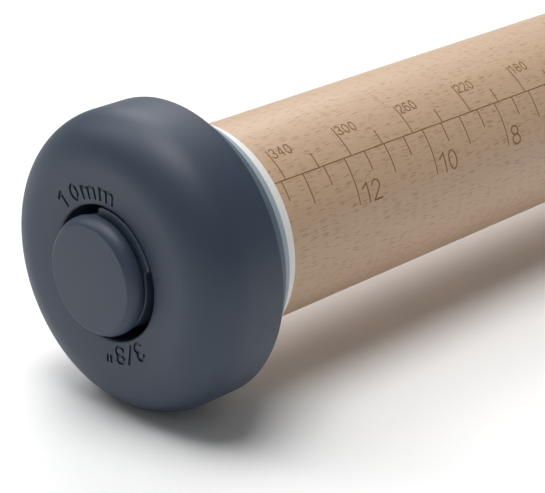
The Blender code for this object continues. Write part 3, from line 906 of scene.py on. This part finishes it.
def drumBack(overlap=0.0):
    # Corners of the cored-out back. The ribs run into its walls by the overlap
    cavity = drum["radius"] - drum["rimWall"] + overlap
    inner = drum["shoulderRadius"] - drum["shell"] + overlap
    bend = math.degrees(math.acos((cavity - crestRadius) / inner))
    wall = drum["mouthRadius"] + drum["mouthWall"] - overlap
    boss = drum["boreRadius"] + drum["boreWall"] - overlap
    under = drum["height"] - drum["mouthDepth"] - drum["floor"] + overlap
    roof = faceHeight(wall) - drum["shell"] + overlap
    return cavity, inner, bend, boss, [(wall, roof), (wall, under), (boss, under)]


def drumOutline():
    mouth, rounding = drum["mouthRadius"], drum["mouthRounding"]
    start, back = mouth + rounding, drum["backRounding"]
    floorHeight = drum["height"] - drum["mouthDepth"]
    points = arcPoints((start, faceHeight(start) - rounding), rounding, 180, 100, 4)
    radii = [start + (crestRadius - mouth - rounding) * i / 14 for i in range(1, 15)]
    points += [(radius, faceHeight(radius)) for radius in radii]
    points += arcPoints(shoulder, drum["shoulderRadius"], 87, 0, 29)
    points += arcPoints((drum["radius"] - back, back), back, 0, -90, 5)
    cavity, inner, bend, boss, corners = drumBack()
    points += [(cavity, 0.0)] + arcPoints(shoulder, inner, bend, 90, 8) + corners
    bore, edge = drum["boreRadius"], drum["boreEdge"]
    points += [(boss, 0.0), (bore + edge, 0.0), (bore, edge), (bore, floorHeight)]
    return points + [(mouth, floorHeight)]


def drumNormal(point, face):
    radius = math.hypot(point.x, point.y)
    lowest = drum["mouthRadius"] + drum["mouthRounding"] * 0.9
    away = abs(point.z - faceHeight(radius))
    if not lowest <= radius <= drum["radius"] or away > pin["surfaceTolerance"]:
        return None
    curve = faceCurve(radius)
    out = (radius - crestRadius) / curve
    up = (point.z - (drum["height"] - curve)) / curve
    return Vector((point.x / radius * out, point.y / radius * out, up)).normalized()


def onFace(mark):
    # Lays a mark's flat figures round the face, their feet towards the mouth
    bm, width = flatText(mark["text"], mark)
    middle = math.radians(mark["middle"])
    reading = mark["low"] + mark["height"] / 2

    def place(x, y, height):
        angle = -(middle + (x - width / 2) / reading)
        radius = mark["low"] + y
        z = faceHeight(radius) + height
        return Vector((radius * math.cos(angle), radius * math.sin(angle), z))

    return wrapped(bm, "mark", place, drum["markDepth"], drum["markRise"], "slatePlastic")


def makeRib():
    # One upright web in the cored-out back
    cavity, inner, bend, boss, corners = drumBack(drum["ribOverlap"])
    outline = [(boss, drum["ribRecess"]), (cavity, drum["ribRecess"])]
    outline += arcPoints(shoulder, inner, bend, 90, 6) + corners
    half = drum["ribThickness"] / 2
    return lofted("rib", *([(r, y, z) for r, z in outline] for y in (-half, half)))


def makeDrum():
    piece = turnedPiece("outerDisc", drumOutline(), pin["sides"], paint="slatePlastic")
    distance = drum["ribDistance"]
    ribs = ringOf(makeRib(), "ribs", drum["ribCount"], distance, 0.0, "slatePlastic")
    combine(piece, ribs, "UNION")
    for mark in (drum["metricMark"], drum["inchMark"]):
        cut(piece, onFace(mark), overlapping=True)
    return setNormals(smoothed(piece), drumNormal)


outerDisc = lifted(makeDrum(), nodeSpan("disc_10mm")[0])
atBothEnds((outerDisc, "OuterDisc", "disc_10mm", "{}_disc_10mm_body", "slate_plastic"))
print("outer discs made")


# Thin discs

thinShape = {
    "rimRadius": 0.7 * mm,
    "rimWidth": 4.2 * mm,
    "relief": 0.7 * mm,
    "reliefEdge": 0.2 * mm,
    "boreLand": 2.6 * mm,
    "bore": 9.8 * mm,
    "boreChamfer": 0.3 * mm,
}
# Size: how far the rim stands proud of the roller, material, slot
thinDiscs = {
    "2mm": (2 * mm, "whitePlastic", "white_plastic"),
    "4mm": (4 * mm, "lightBluePlastic", "light_blue_plastic"),
    "6mm": (6 * mm, "midBluePlastic", "mid_blue_plastic"),
}


def makeThinDisc(size, step, paint):
    low, high = nodeSpan("disc_" + size)
    thickness, radius = high - low, pin["rollerRadius"] + step
    edge, bevel, small = thinShape["rimRadius"], thinShape["boreChamfer"], thinShape["reliefEdge"]
    bore, relief = thinShape["bore"], thinShape["relief"]
    outer = radius - thinShape["rimWidth"]
    inner = bore + thinShape["boreLand"]
    points = arcPoints((radius - edge, thickness - edge), edge, 90, 0, 6)
    points += arcPoints((radius - edge, edge), edge, 0, -90, 6)
    points += [(outer + small, 0.0), (outer, small), (outer, relief)]
    points += [(inner, relief), (inner, small), (inner - small, 0.0)]
    points += [(bore + bevel, 0.0), (bore, bevel), (bore, thickness - bevel)]
    points.append((bore + bevel, thickness))
    disc = turnedPiece("disc" + size, points, pin["sides"], paint=paint)
    return lifted(smoothed(disc), low)


thinMasters = []
for size, (*look, slotName) in thinDiscs.items():
    disc, node = makeThinDisc(size, *look), "disc_" + size
    thinMasters.append((disc, "Disc" + size, node, "{}_" + node + "_body", slotName))
atBothEnds(*thinMasters)
print("thin discs made")


# Knob: lugged core and cap

knob = {
    "lugRadius": 13.9 * mm,
    "radius": 12.6 * mm,
    "waistRadius": 12.2 * mm,
    "lugSpan": 79,
    "lugTurn": -33.5,
    # Few enough steps that each is longer than the corners' radius, or the rounding folds over
    "lugSteps": 22,
    "waistSteps": 24,
    "cornerRadius": 0.8 * mm,
    "edgeRadius": 0.4 * mm,
    "lugDrop": 0.6 * mm,
    "shoulderStep": 1.5 * mm,
    "shoulderDrop": 2.6 * mm,
    "faceEdge": 0.25 * mm,
    "capSkirtRadius": 10.9 * mm,
    "capSkirtWall": 1.4 * mm,
    "capSkirtLength": 3.2 * mm,
    "capSkirtEdge": 0.3 * mm,
    "capSeamEdge": 0.15 * mm,
    "capPlate": 1.3 * mm,
    "boltRadius": 4.0 * mm,
    "pocketFlats": 12.6 * mm,
    "pocketFloor": 1.6 * mm,
    "play": 0.3 * mm,
}


def luggedOutline():
    # Seen along the knob's axis: two wide lugs at the full radius, the round body between them
    outline = []
    half = knob["lugSpan"] / 2
    for turn in (knob["lugTurn"], knob["lugTurn"] + 180):
        edge, steps = turn + half, knob["waistSteps"]
        outline += arcPoints((0, 0), knob["lugRadius"], turn - half, edge, knob["lugSteps"])
        outline += arcPoints((0, 0), knob["waistRadius"], edge, turn + 180 - half, steps)
    return outline


def prism(outline, height, edge, corner, name):
    # Stands an outline up, rounds its sharp upright edges and then its rims
    bm = bmesh.new()
    floor = bm.faces.new([bm.verts.new((x, y, 0.0)) for x, y in outline])
    top = bmesh.ops.extrude_face_region(bm, geom=[floor])["geom"]
    raised = [v for v in top if isinstance(v, bmesh.types.BMVert)]
    bmesh.ops.translate(bm, verts=raised, vec=(0, 0, height))
    bmesh.ops.recalc_face_normals(bm, faces=bm.faces)
    upright = [e for e in bm.edges if abs(e.verts[0].co.z - e.verts[1].co.z) > height / 2]
    sharp = [e for e in upright if e.calc_face_angle() > math.radians(25)]
    bmesh.ops.bevel(bm, geom=sharp, offset=corner, segments=6, affect="EDGES", profile=0.5)
    rims = [e for e in bm.edges if e.calc_face_angle() > math.radians(60)]
    bmesh.ops.bevel(bm, geom=rims, offset=edge, segments=5, affect="EDGES", profile=0.5)
    return newPiece(name, meshFrom(bm, name))


def hexPrism(flats, height, name):
    bm = bmesh.new()
    corner = flats / math.sqrt(3)
    size = {"radius1": corner, "radius2": corner, "depth": height}
    bmesh.ops.create_cone(bm, cap_ends=True, segments=6, **size)
    bmesh.ops.translate(bm, verts=bm.verts, vec=(0, 0, height / 2))
    return newPiece(name, meshFrom(bm, name))


def makeCore():
    low, high = nodeSpan("knob_core")
    height = high - low
    lugHeight = height - knob["lugDrop"]
    piece = prism(luggedOutline(), lugHeight, knob["edgeRadius"], knob["cornerRadius"], "knobCore")
    repaint(piece, "slatePlastic")
    pocket = lifted(hexPrism(knob["pocketFlats"], height, "pocket"), knob["pocketFloor"])
    repaint(pocket, "slatePlastic")
    cut(piece, pocket)
    bore = knob["boltRadius"] + knob["play"]
    hole = [(0, height), (bore, height), (bore, -mm), (0, -mm)]
    cut(piece, turnedPiece("hole", hole, 48, closed=False, paint="slatePlastic"))
    outer = knob["capSkirtRadius"] + knob["play"]
    inner = knob["capSkirtRadius"] - knob["capSkirtWall"] - knob["play"]
    top, bottom = height + mm, height - knob["capSkirtLength"]
    groove = [(outer, top), (outer, bottom), (inner, bottom), (inner, top)]
    cut(piece, turnedPiece("groove", groove, 96, paint="slatePlastic"))
    return lifted(smoothed(piece), low)


def makeCap():
    low, high = nodeSpan("knob_cap")
    top, radius, edge = high - low, knob["radius"], knob["faceEdge"]
    skirt, skirtLength = knob["capSkirtRadius"], knob["capSkirtLength"]
    skirtInner, plate = skirt - knob["capSkirtWall"], skirtLength + knob["capPlate"]
    step, drop = knob["shoulderStep"], knob["shoulderDrop"]
    curve = (step ** 2 + drop ** 2) / (2 * step)
    # The shoulder meets the flat face at a corner, rounded off by a small arc inside both
    centreRadius = radius - curve
    faceRadius = centreRadius + math.sqrt((curve - edge) ** 2 - (drop - edge) ** 2)
    meeting = math.degrees(math.atan2(drop - edge, faceRadius - centreRadius))
    points = [(0.0, top)] + arcPoints((faceRadius, top - edge), edge, 90, meeting, 4)
    points += arcPoints((centreRadius, top - drop), curve, meeting, 0, 12)[1:]
    seam, bevel = knob["capSeamEdge"], knob["capSkirtEdge"]
    points += arcPoints((radius - seam, skirtLength + seam), seam, 0, -90, 3)
    points += [(skirt, skirtLength), (skirt, bevel), (skirt - bevel, 0.0), (skirtInner, 0.0)]
    points += [(skirtInner, plate), (0.0, plate)]
    piece = turnedPiece("knobCap", points, 120, closed=False, paint="slatePlastic")
    return lifted(smoothed(piece), low)


atBothEnds(
    (makeCore(), "KnobCore", "knob_core", "{}_knob", "slate_plastic"),
    (makeCap(), "KnobCap", "knob_cap", "{}_knob", "slate_plastic"),
)
print("knobs made")


# Hub, screws, insert, washer, bolt and clip

screw = {
    "headRadius": 2.6 * mm,
    "headHeight": 1.6 * mm,
    "headEdge": 0.1 * mm,
    "shankRadius": 1.5 * mm,
    "coreRadius": 1.05 * mm,
    "length": 16 * mm,
    "plainLength": 4 * mm,
    "pointLength": 3 * mm,
    "pointRadius": 0.4 * mm,
    "pitch": 1.5 * mm,
    "crossWidth": 0.55 * mm,
    "crossLength": 2.7 * mm,
    "crossDepth": 1.3 * mm,
}
bolt = {
    "radius": 4 * mm,
    "rootRadius": 3.4 * mm,
    "lead": 3 * mm,
    "starts": 2,
    "headFlats": 12 * mm,
    "headHeight": 4.2 * mm,
    "headChamfer": 0.7 * mm,
    "grooveDepth": 0.6 * mm,
    "grooveEdge": 0.2 * mm,
    "threadEnd": 1.5 * mm,
    "leadIn": 1.4 * mm,
}
insert = {
    "edge": 0.4 * mm,
    "bandGap": 2 * mm,
    "bandDepth": 0.6 * mm,
    "knurl": 0.2 * mm,
    "threadPlay": 0.15 * mm,
}
washer = {"radius": 13.6 * mm, "edge": 0.2 * mm}
clip = {"radius": 6.8 * mm, "halfGap": 2.2 * mm, "edge": 0.08 * mm, "cornerRadius": 0.3 * mm}
# One ridge of a thread: share of the pitch along the axis, share of the depth outwards
ridge = ((0.0, 0.0), (0.22, 0.0), (0.42, 1.0), (0.68, 1.0), (0.88, 0.0))


def threadedRod(name, lead, starts, root, crest, low, high, sides=56):
    # A closed rod with a screw ridge. Its grid leans with the screw, so every crest is one line
    pitch = lead / starts
    base = low - lead - 2 * pitch
    turns = int((high - base) / pitch) + 2
    rows = [(base + pitch * (k + share), depth) for k in range(turns) for share, depth in ridge]
    bm = bmesh.new()
    grid = []
    for i in range(sides):
        angle = 2 * math.pi * i / sides
        column = []
        for height, depth in rows:
            z = height + lead * i / sides
            inner, outer = root(z), crest(z)
            radius = inner + (outer - inner) * depth
            column.append(bm.verts.new((radius * math.cos(angle), radius * math.sin(angle), z)))
        grid.append(column)
    for i in range(sides):
        here, there = grid[i], grid[(i + 1) % sides]
        # Round the seam the screw has climbed by its lead
        climb = starts * len(ridge) if i == sides - 1 else 0
        for k in range(len(rows) - 1 - climb):
            bm.faces.new((here[k], there[k + climb], there[k + 1 + climb], here[k + 1]))
    for height, direction in ((high, 1), (low, -1)):
        bmesh.ops.bisect_plane(
            bm, geom=bm.verts[:] + bm.edges[:] + bm.faces[:], plane_co=(0, 0, height),
            plane_no=(0, 0, direction), clear_outer=True,
        )
    bmesh.ops.holes_fill(bm, edges=[e for e in bm.edges if e.is_boundary], sides=0)
    bmesh.ops.recalc_face_normals(bm, faces=bm.faces)
    return newPiece(name, meshFrom(bm, name))


def boltRod(low, high, growth=0.0):
    # The bolt's threaded length, its ridge rising from the tip
    def root(z):
        return bolt["rootRadius"] + growth - max(0.0, 0.5 * mm - (z - low)) * 0.6

    def crest(z):
        share = min(1.0, max(0.0, (z - low) / bolt["leadIn"]))
        return root(z) + (bolt["radius"] - bolt["rootRadius"]) * share

    return threadedRod("thread", bolt["lead"], bolt["starts"], root, crest, low, high)


def screwOutline(growth=0.0):
    head, shank = screw["headRadius"] + growth, screw["shankRadius"] + growth
    edge, tip = screw["headEdge"], -screw["length"] - growth
    return [
        (0.0, growth), (head - edge, growth), (head, growth - edge),
        (shank, -screw["headHeight"]), (shank, screw["pointLength"] - screw["length"]),
        (screw["pointRadius"] + growth, tip), (0.0, tip),
    ]


def crossArm(turn):
    # One tapered arm of the cross recess
    half, width = screw["crossLength"] / 2, screw["crossWidth"] / 2
    levels = []
    for height, reach in ((0.1 * mm, half), (-screw["crossDepth"], half * 0.35)):
        corners = ((-reach, -width), (reach, -width), (reach, width), (-reach, width))
        levels.append([(x, y, height) for x, y in corners])
    arm = lofted("crossArm", *levels)
    arm.data.transform(Matrix.Rotation(turn, 4, "Z"))
    return arm


def makeScrew():
    shankEnd = -screw["headHeight"] - screw["plainLength"]
    point = screw["pointLength"] - screw["length"]

    def narrowing(z):
        return 1.0 if z > point else max(0.25, 1.0 - 0.75 * (point - z) / screw["pointLength"])

    piece = threadedRod(
        "screw", screw["pitch"], 1,
        lambda z: screw["coreRadius"] * narrowing(z),
        lambda z: screw["shankRadius"] * narrowing(z),
        -screw["length"], shankEnd, sides=32,
    )
    top = [corner for corner in screwOutline() if corner[1] >= -screw["headHeight"]]
    root = shankEnd - 0.4 * mm
    top += [(screw["shankRadius"], shankEnd), (screw["coreRadius"], root), (0.0, root)]
    combine(piece, turnedPiece("screwHead", top, 48, closed=False), "UNION")
    for turn in (0.0, math.pi / 2):
        cut(piece, crossArm(turn))
    repaint(piece, "turnedSteel")
    return smoothed(piece)


def makeHub():
    low, high = nodeSpan("end_hub")
    play, edge, small = hub["play"], hub["flangeEdge"], hub["smallEdge"]
    pocketFloor = nodeSpan("retaining_clip")[0] - play
    flange, plug, spigot = hub["flangeRadius"], hub["plugRadius"], hub["spigotRadius"]
    under, depth, back = -hub["flangeThickness"], -hub["shoulderDepth"], edge / 2
    insertBore, taper = hub["insertRadius"] + play, hub["plugTaper"]
    pocket, round_ = hub["pocketRadius"], hub["spigotEdge"]
    outline = [
        (spigot - round_, high), (spigot, high - round_), (spigot, 0.0),
        (flange - edge, 0.0), (flange, -edge), (flange, under + back), (flange - back, under),
        (plug, under), (plug - edge, low + taper), (plug - taper, low),
        (insertBore + small, low), (insertBore, low + small), (insertBore, depth),
        (hub["boltHole"], depth), (hub["boltHole"], pocketFloor), (pocket, pocketFloor),
        (pocket, high - small), (pocket + small, high),
    ]
    piece = turnedPiece("endHub", outline, hub["sides"], paint="hubPlastic")
    hole = turnedPiece("screwHole", screwOutline(play), 48, closed=False)
    count, circle = hub["screwCount"], hub["screwCircle"]
    cut(piece, ringOf(hole, "screwHoles", count, circle, -play, "hubPlastic"))
    return smoothed(piece)


def makeInsert():
    # Knurled outside in two bands with a groove between them, threaded inside
    low, high = nodeSpan("thread_insert")
    radius, edge, step = hub["insertRadius"], insert["edge"], 2 * math.pi / pin["sides"]
    inner = radius - insert["bandDepth"]
    groove = [(low + high + insert["bandGap"] * way) / 2 for way in (1, -1)]
    outline = [
        (0.0, high), (radius - edge, high), (radius, high - edge), (radius, groove[0]),
        (inner, groove[0]), (inner, groove[1]), (radius, groove[1]),
        (radius, low + edge), (radius - edge, low), (0.0, low),
    ]
    piece = turnedPiece("threadInsert", outline, pin["sides"], closed=False, paint="plainBrass")
    for vertex in piece.data.vertices:
        x, y, z = vertex.co
        inFurrow = round(math.atan2(y, x) / step) % 3 == 0
        if math.hypot(x, y) > radius - 0.1 * mm and inFurrow:
            share = 1.0 - insert["knurl"] / radius
            vertex.co = (x * share, y * share, z)
    rod = boltRod(low - 2 * bolt["lead"], high + bolt["lead"], growth=insert["threadPlay"])
    repaint(rod, "plainBrass")
    cut(piece, rod)
    return smoothed(piece, math.radians(28))


def makeWasher():
    low, high = nodeSpan("thrust_washer")
    edge = washer["edge"]
    outer, inner = washer["radius"] - edge, bolt["radius"] + hub["play"] + edge
    outline = arcPoints((outer, high - edge), edge, 90, 0, 3)
    outline += arcPoints((outer, low + edge), edge, 0, -90, 3)
    outline += arcPoints((inner, low + edge), edge, -90, -180, 3)
    outline += arcPoints((inner, high - edge), edge, 180, 90, 3)
    return smoothed(turnedPiece("thrustWasher", outline, hub["sides"], paint="washerPlastic"))


def makeBolt():
    low, high = nodeSpan("knob_bolt")
    clipLow, clipHigh = nodeSpan("retaining_clip")
    headBase, headTop = high - bolt["headHeight"], bolt["headHeight"]
    radius, root, edge = bolt["radius"], bolt["rootRadius"], bolt["grooveEdge"]
    groove = radius - bolt["grooveDepth"]
    upper, lower = clipHigh + hub["play"], clipLow - hub["play"]
    threadTop, shankTop = clipLow - bolt["threadEnd"], headBase + 2 * mm
    threadRoot = threadTop - 0.5 * mm
    outline = [
        (0.0, shankTop), (radius, shankTop), (radius, upper), (groove, upper), (groove, lower),
        (radius - edge, lower), (radius, lower - edge), (radius, threadTop),
        (root, threadRoot), (0.0, threadRoot),
    ]
    piece = turnedPiece("knobBolt", outline, 64, closed=False)
    combine(piece, boltRod(low, threadTop), "UNION")
    # The head's corners are turned off at the top
    face, corner = bolt["headFlats"] / 2, bolt["headFlats"] / math.sqrt(3) + 0.01 * mm
    turned = [(0.0, headTop), (face * 0.96, headTop), (corner, headTop - bolt["headChamfer"])]
    turned += [(corner, -mm), (0.0, -mm)]
    head = hexPrism(bolt["headFlats"], headTop, "head")
    combine(head, turnedPiece("chamfer", turned, 96, closed=False), "INTERSECT")
    combine(piece, lifted(head, headBase), "UNION")
    repaint(piece, "turnedSteel")
    return smoothed(piece)


def makeClip():
    low, high = nodeSpan("retaining_clip")
    outer, inner = clip["radius"], bolt["radius"] - bolt["grooveDepth"] + hub["play"]
    outerGap, innerGap = (math.degrees(math.asin(clip["halfGap"] / r)) for r in (outer, inner))
    outline = arcPoints((0, 0), outer, outerGap, 360 - outerGap, 60)
    outline += arcPoints((0, 0), inner, 360 - innerGap, innerGap, 48)
    piece = prism(outline, high - low, clip["edge"], clip["cornerRadius"], "retainingClip")
    repaint(piece, "turnedSteel")
    return smoothed(lifted(piece, low))


def makeScrews():
    source = makeScrew()
    screws = []
    for i in range(hub["screwCount"]):
        angle = 2 * math.pi * i / hub["screwCount"]
        x, y = hub["screwCircle"] * math.cos(angle), hub["screwCircle"] * math.sin(angle)
        # The cross recesses stop at different turns, as driven screws do
        turn = Matrix.Rotation(angle * 1.7 + 0.4, 4, "Z")
        piece = newPiece("hubScrew", source.data.copy())
        piece.data.transform(Matrix.Translation((x, y, -hub["play"])) @ turn)
        count = str(i + 1)
        screws.append((piece, "HubScrew" + count, "hub_screw_" + count, "roller", "steel"))
    bpy.data.objects.remove(source, do_unlink=True)
    return screws


atBothEnds(
    (makeHub(), "EndHub", "end_hub", "roller", "hub_plastic"),
    *makeScrews(),
    (makeInsert(), "ThreadInsert", "thread_insert", "roller", "brass"),
    (makeWasher(), "ThrustWasher", "thrust_washer", "{}_washer_slide_body", "washer_plastic"),
    (makeBolt(), "KnobBolt", "knob_bolt", "{}_knob", "steel"),
    (makeClip(), "RetainingClip", "retaining_clip", "{}_knob", "steel"),
)
print("hubs, screws, bolts, washers and clips made")


# Floor, light and camera

studio = {
    "floorHeight": -0.07 * mm,
    "floorSize": 6.0,
    "floorColour": 1.0,
    "bounceColour": 0.93,
    "fadeStart": 0.25,
    "fadeEnd": 0.5,
    "fadeLeast": 0.012,
    "worldLevel": 0.17,
    # Name: place, diameter, watts
    "lamps": {
        "overhead": ((-0.2, 0.05, 1.6), 1.05, 14.2),
        "closeOver": ((-0.3, 0.15, 0.6), 0.5, 0.8),
        "behindLeft": ((-0.75, 1.5, 1.5), 1.0, 8.0),
        "behindRight": ((0.66, 1.03, 1.08), 0.9, 7.6),
        "highRight": ((0.75, 0.5, 1.25), 1.0, 2.5),
    },
    "lampTarget": (-0.1, 0.0, 0.0),
}
# Fitted to the scale's marks and the outlines in the photograph
view = {
    "place": (-0.43802, -0.27111, 0.15392 + pin["axisHeight"]),
    "yaw": 0.80341,
    "pitch": 0.39442,
    "sensorWidth": 36.0,
    "lens": 128.2429,
}


def whenSeen(tree, other):
    # 1 where a ray comes straight from the camera, or is of the other kind
    path = addNode(tree, "ShaderNodeLightPath", (-500, 200)).outputs
    return maths(tree, (-300, 200), "MAXIMUM", path["Is Camera Ray"], path[other])


def makeFloor():
    bm = bmesh.new()
    bmesh.ops.create_grid(bm, x_segments=1, y_segments=1, size=studio["floorSize"] / 2)
    floor = lifted(newPiece("floor", meshFrom(bm, "floor")), studio["floorHeight"])
    material, tree, shader = newMaterial("paleFloor")
    seen = whenSeen(tree, "Is Glossy Ray")
    greys = [(studio[key],) * 3 for key in ("bounceColour", "floorColour")]
    colour = mixColours(tree, (-100, 200), seen, *greys)
    fill(tree, shader, {"Base Color": colour, "Roughness": 1.0, "Specular IOR Level": 0.0})
    # Away from the pin the floor fades to a white backdrop
    distance = vectorMaths(tree, (-700, -200), "LENGTH", objectPlace(tree, (-900, -200)))
    limits = [studio[key] for key in ("fadeStart", "fadeEnd", "fadeLeast")]
    place, value = (-500, -200), distance.outputs["Value"]
    fade = ranged(tree, place, value, *limits, interpolation_type="SMOOTHSTEP")
    shown = maths(tree, (-300, -200), "MULTIPLY", fade, seen)
    white = addNode(tree, "ShaderNodeEmission", (300, -300))
    inputs = {0: shown, 1: shader, 2: white}
    backdrop = addNode(tree, "ShaderNodeMixShader", (600, -150), inputs)
    output = next(node for node in tree.nodes if node.type == "OUTPUT_MATERIAL")
    output.location = (800, 0)
    fill(tree, output, {"Surface": backdrop})
    floor.data.materials.append(material)


def makeWorld():
    world = bpy.data.worlds.new("studio")
    bpy.context.scene.world = world
    world.use_nodes = True
    tree = world.node_tree
    tree.nodes.clear()
    inputs = {0: whenSeen(tree, "Is Transmission Ray")}
    for i, strength in ((1, studio["worldLevel"]), (2, 1.0)):
        level = {"Color": (1, 1, 1, 1), "Strength": strength}
        inputs[i] = addNode(tree, "ShaderNodeBackground", (0, 200 - 200 * i), level)
    mix = addNode(tree, "ShaderNodeMixShader", (250, 0), inputs)
    addNode(tree, "ShaderNodeOutputWorld", (500, 0), {"Surface": mix})


def makeLamp(name, place, size, power):
    lamp = bpy.data.lights.new(name, "AREA")
    lamp.shape = "DISK"
    lamp.size = size
    lamp.energy = power
    holder = bpy.data.objects.new(name, lamp)
    bpy.context.scene.collection.objects.link(holder)
    holder.location = place
    way = Vector(studio["lampTarget"]) - Vector(place)
    holder.rotation_euler = way.to_track_quat("-Z", "Y").to_euler()


def makeCamera():
    camera = bpy.data.cameras.new("camera")
    camera.sensor_fit = "HORIZONTAL"
    camera.sensor_width = view["sensorWidth"]
    camera.lens = view["lens"]
    camera.clip_start = 0.01
    camera.dof.use_dof = False
    holder = bpy.data.objects.new("camera", camera)
    bpy.context.scene.collection.objects.link(holder)
    holder.location = view["place"]
    holder.rotation_euler = (math.pi / 2 - view["pitch"], 0.0, -view["yaw"])
    bpy.context.scene.camera = holder


makeFloor()
makeWorld()
for name, (place, size, power) in studio["lamps"].items():
    makeLamp(name, place, size, power)
makeCamera()
bpy.context.scene.view_settings.view_transform = "Standard"
print("studio made")
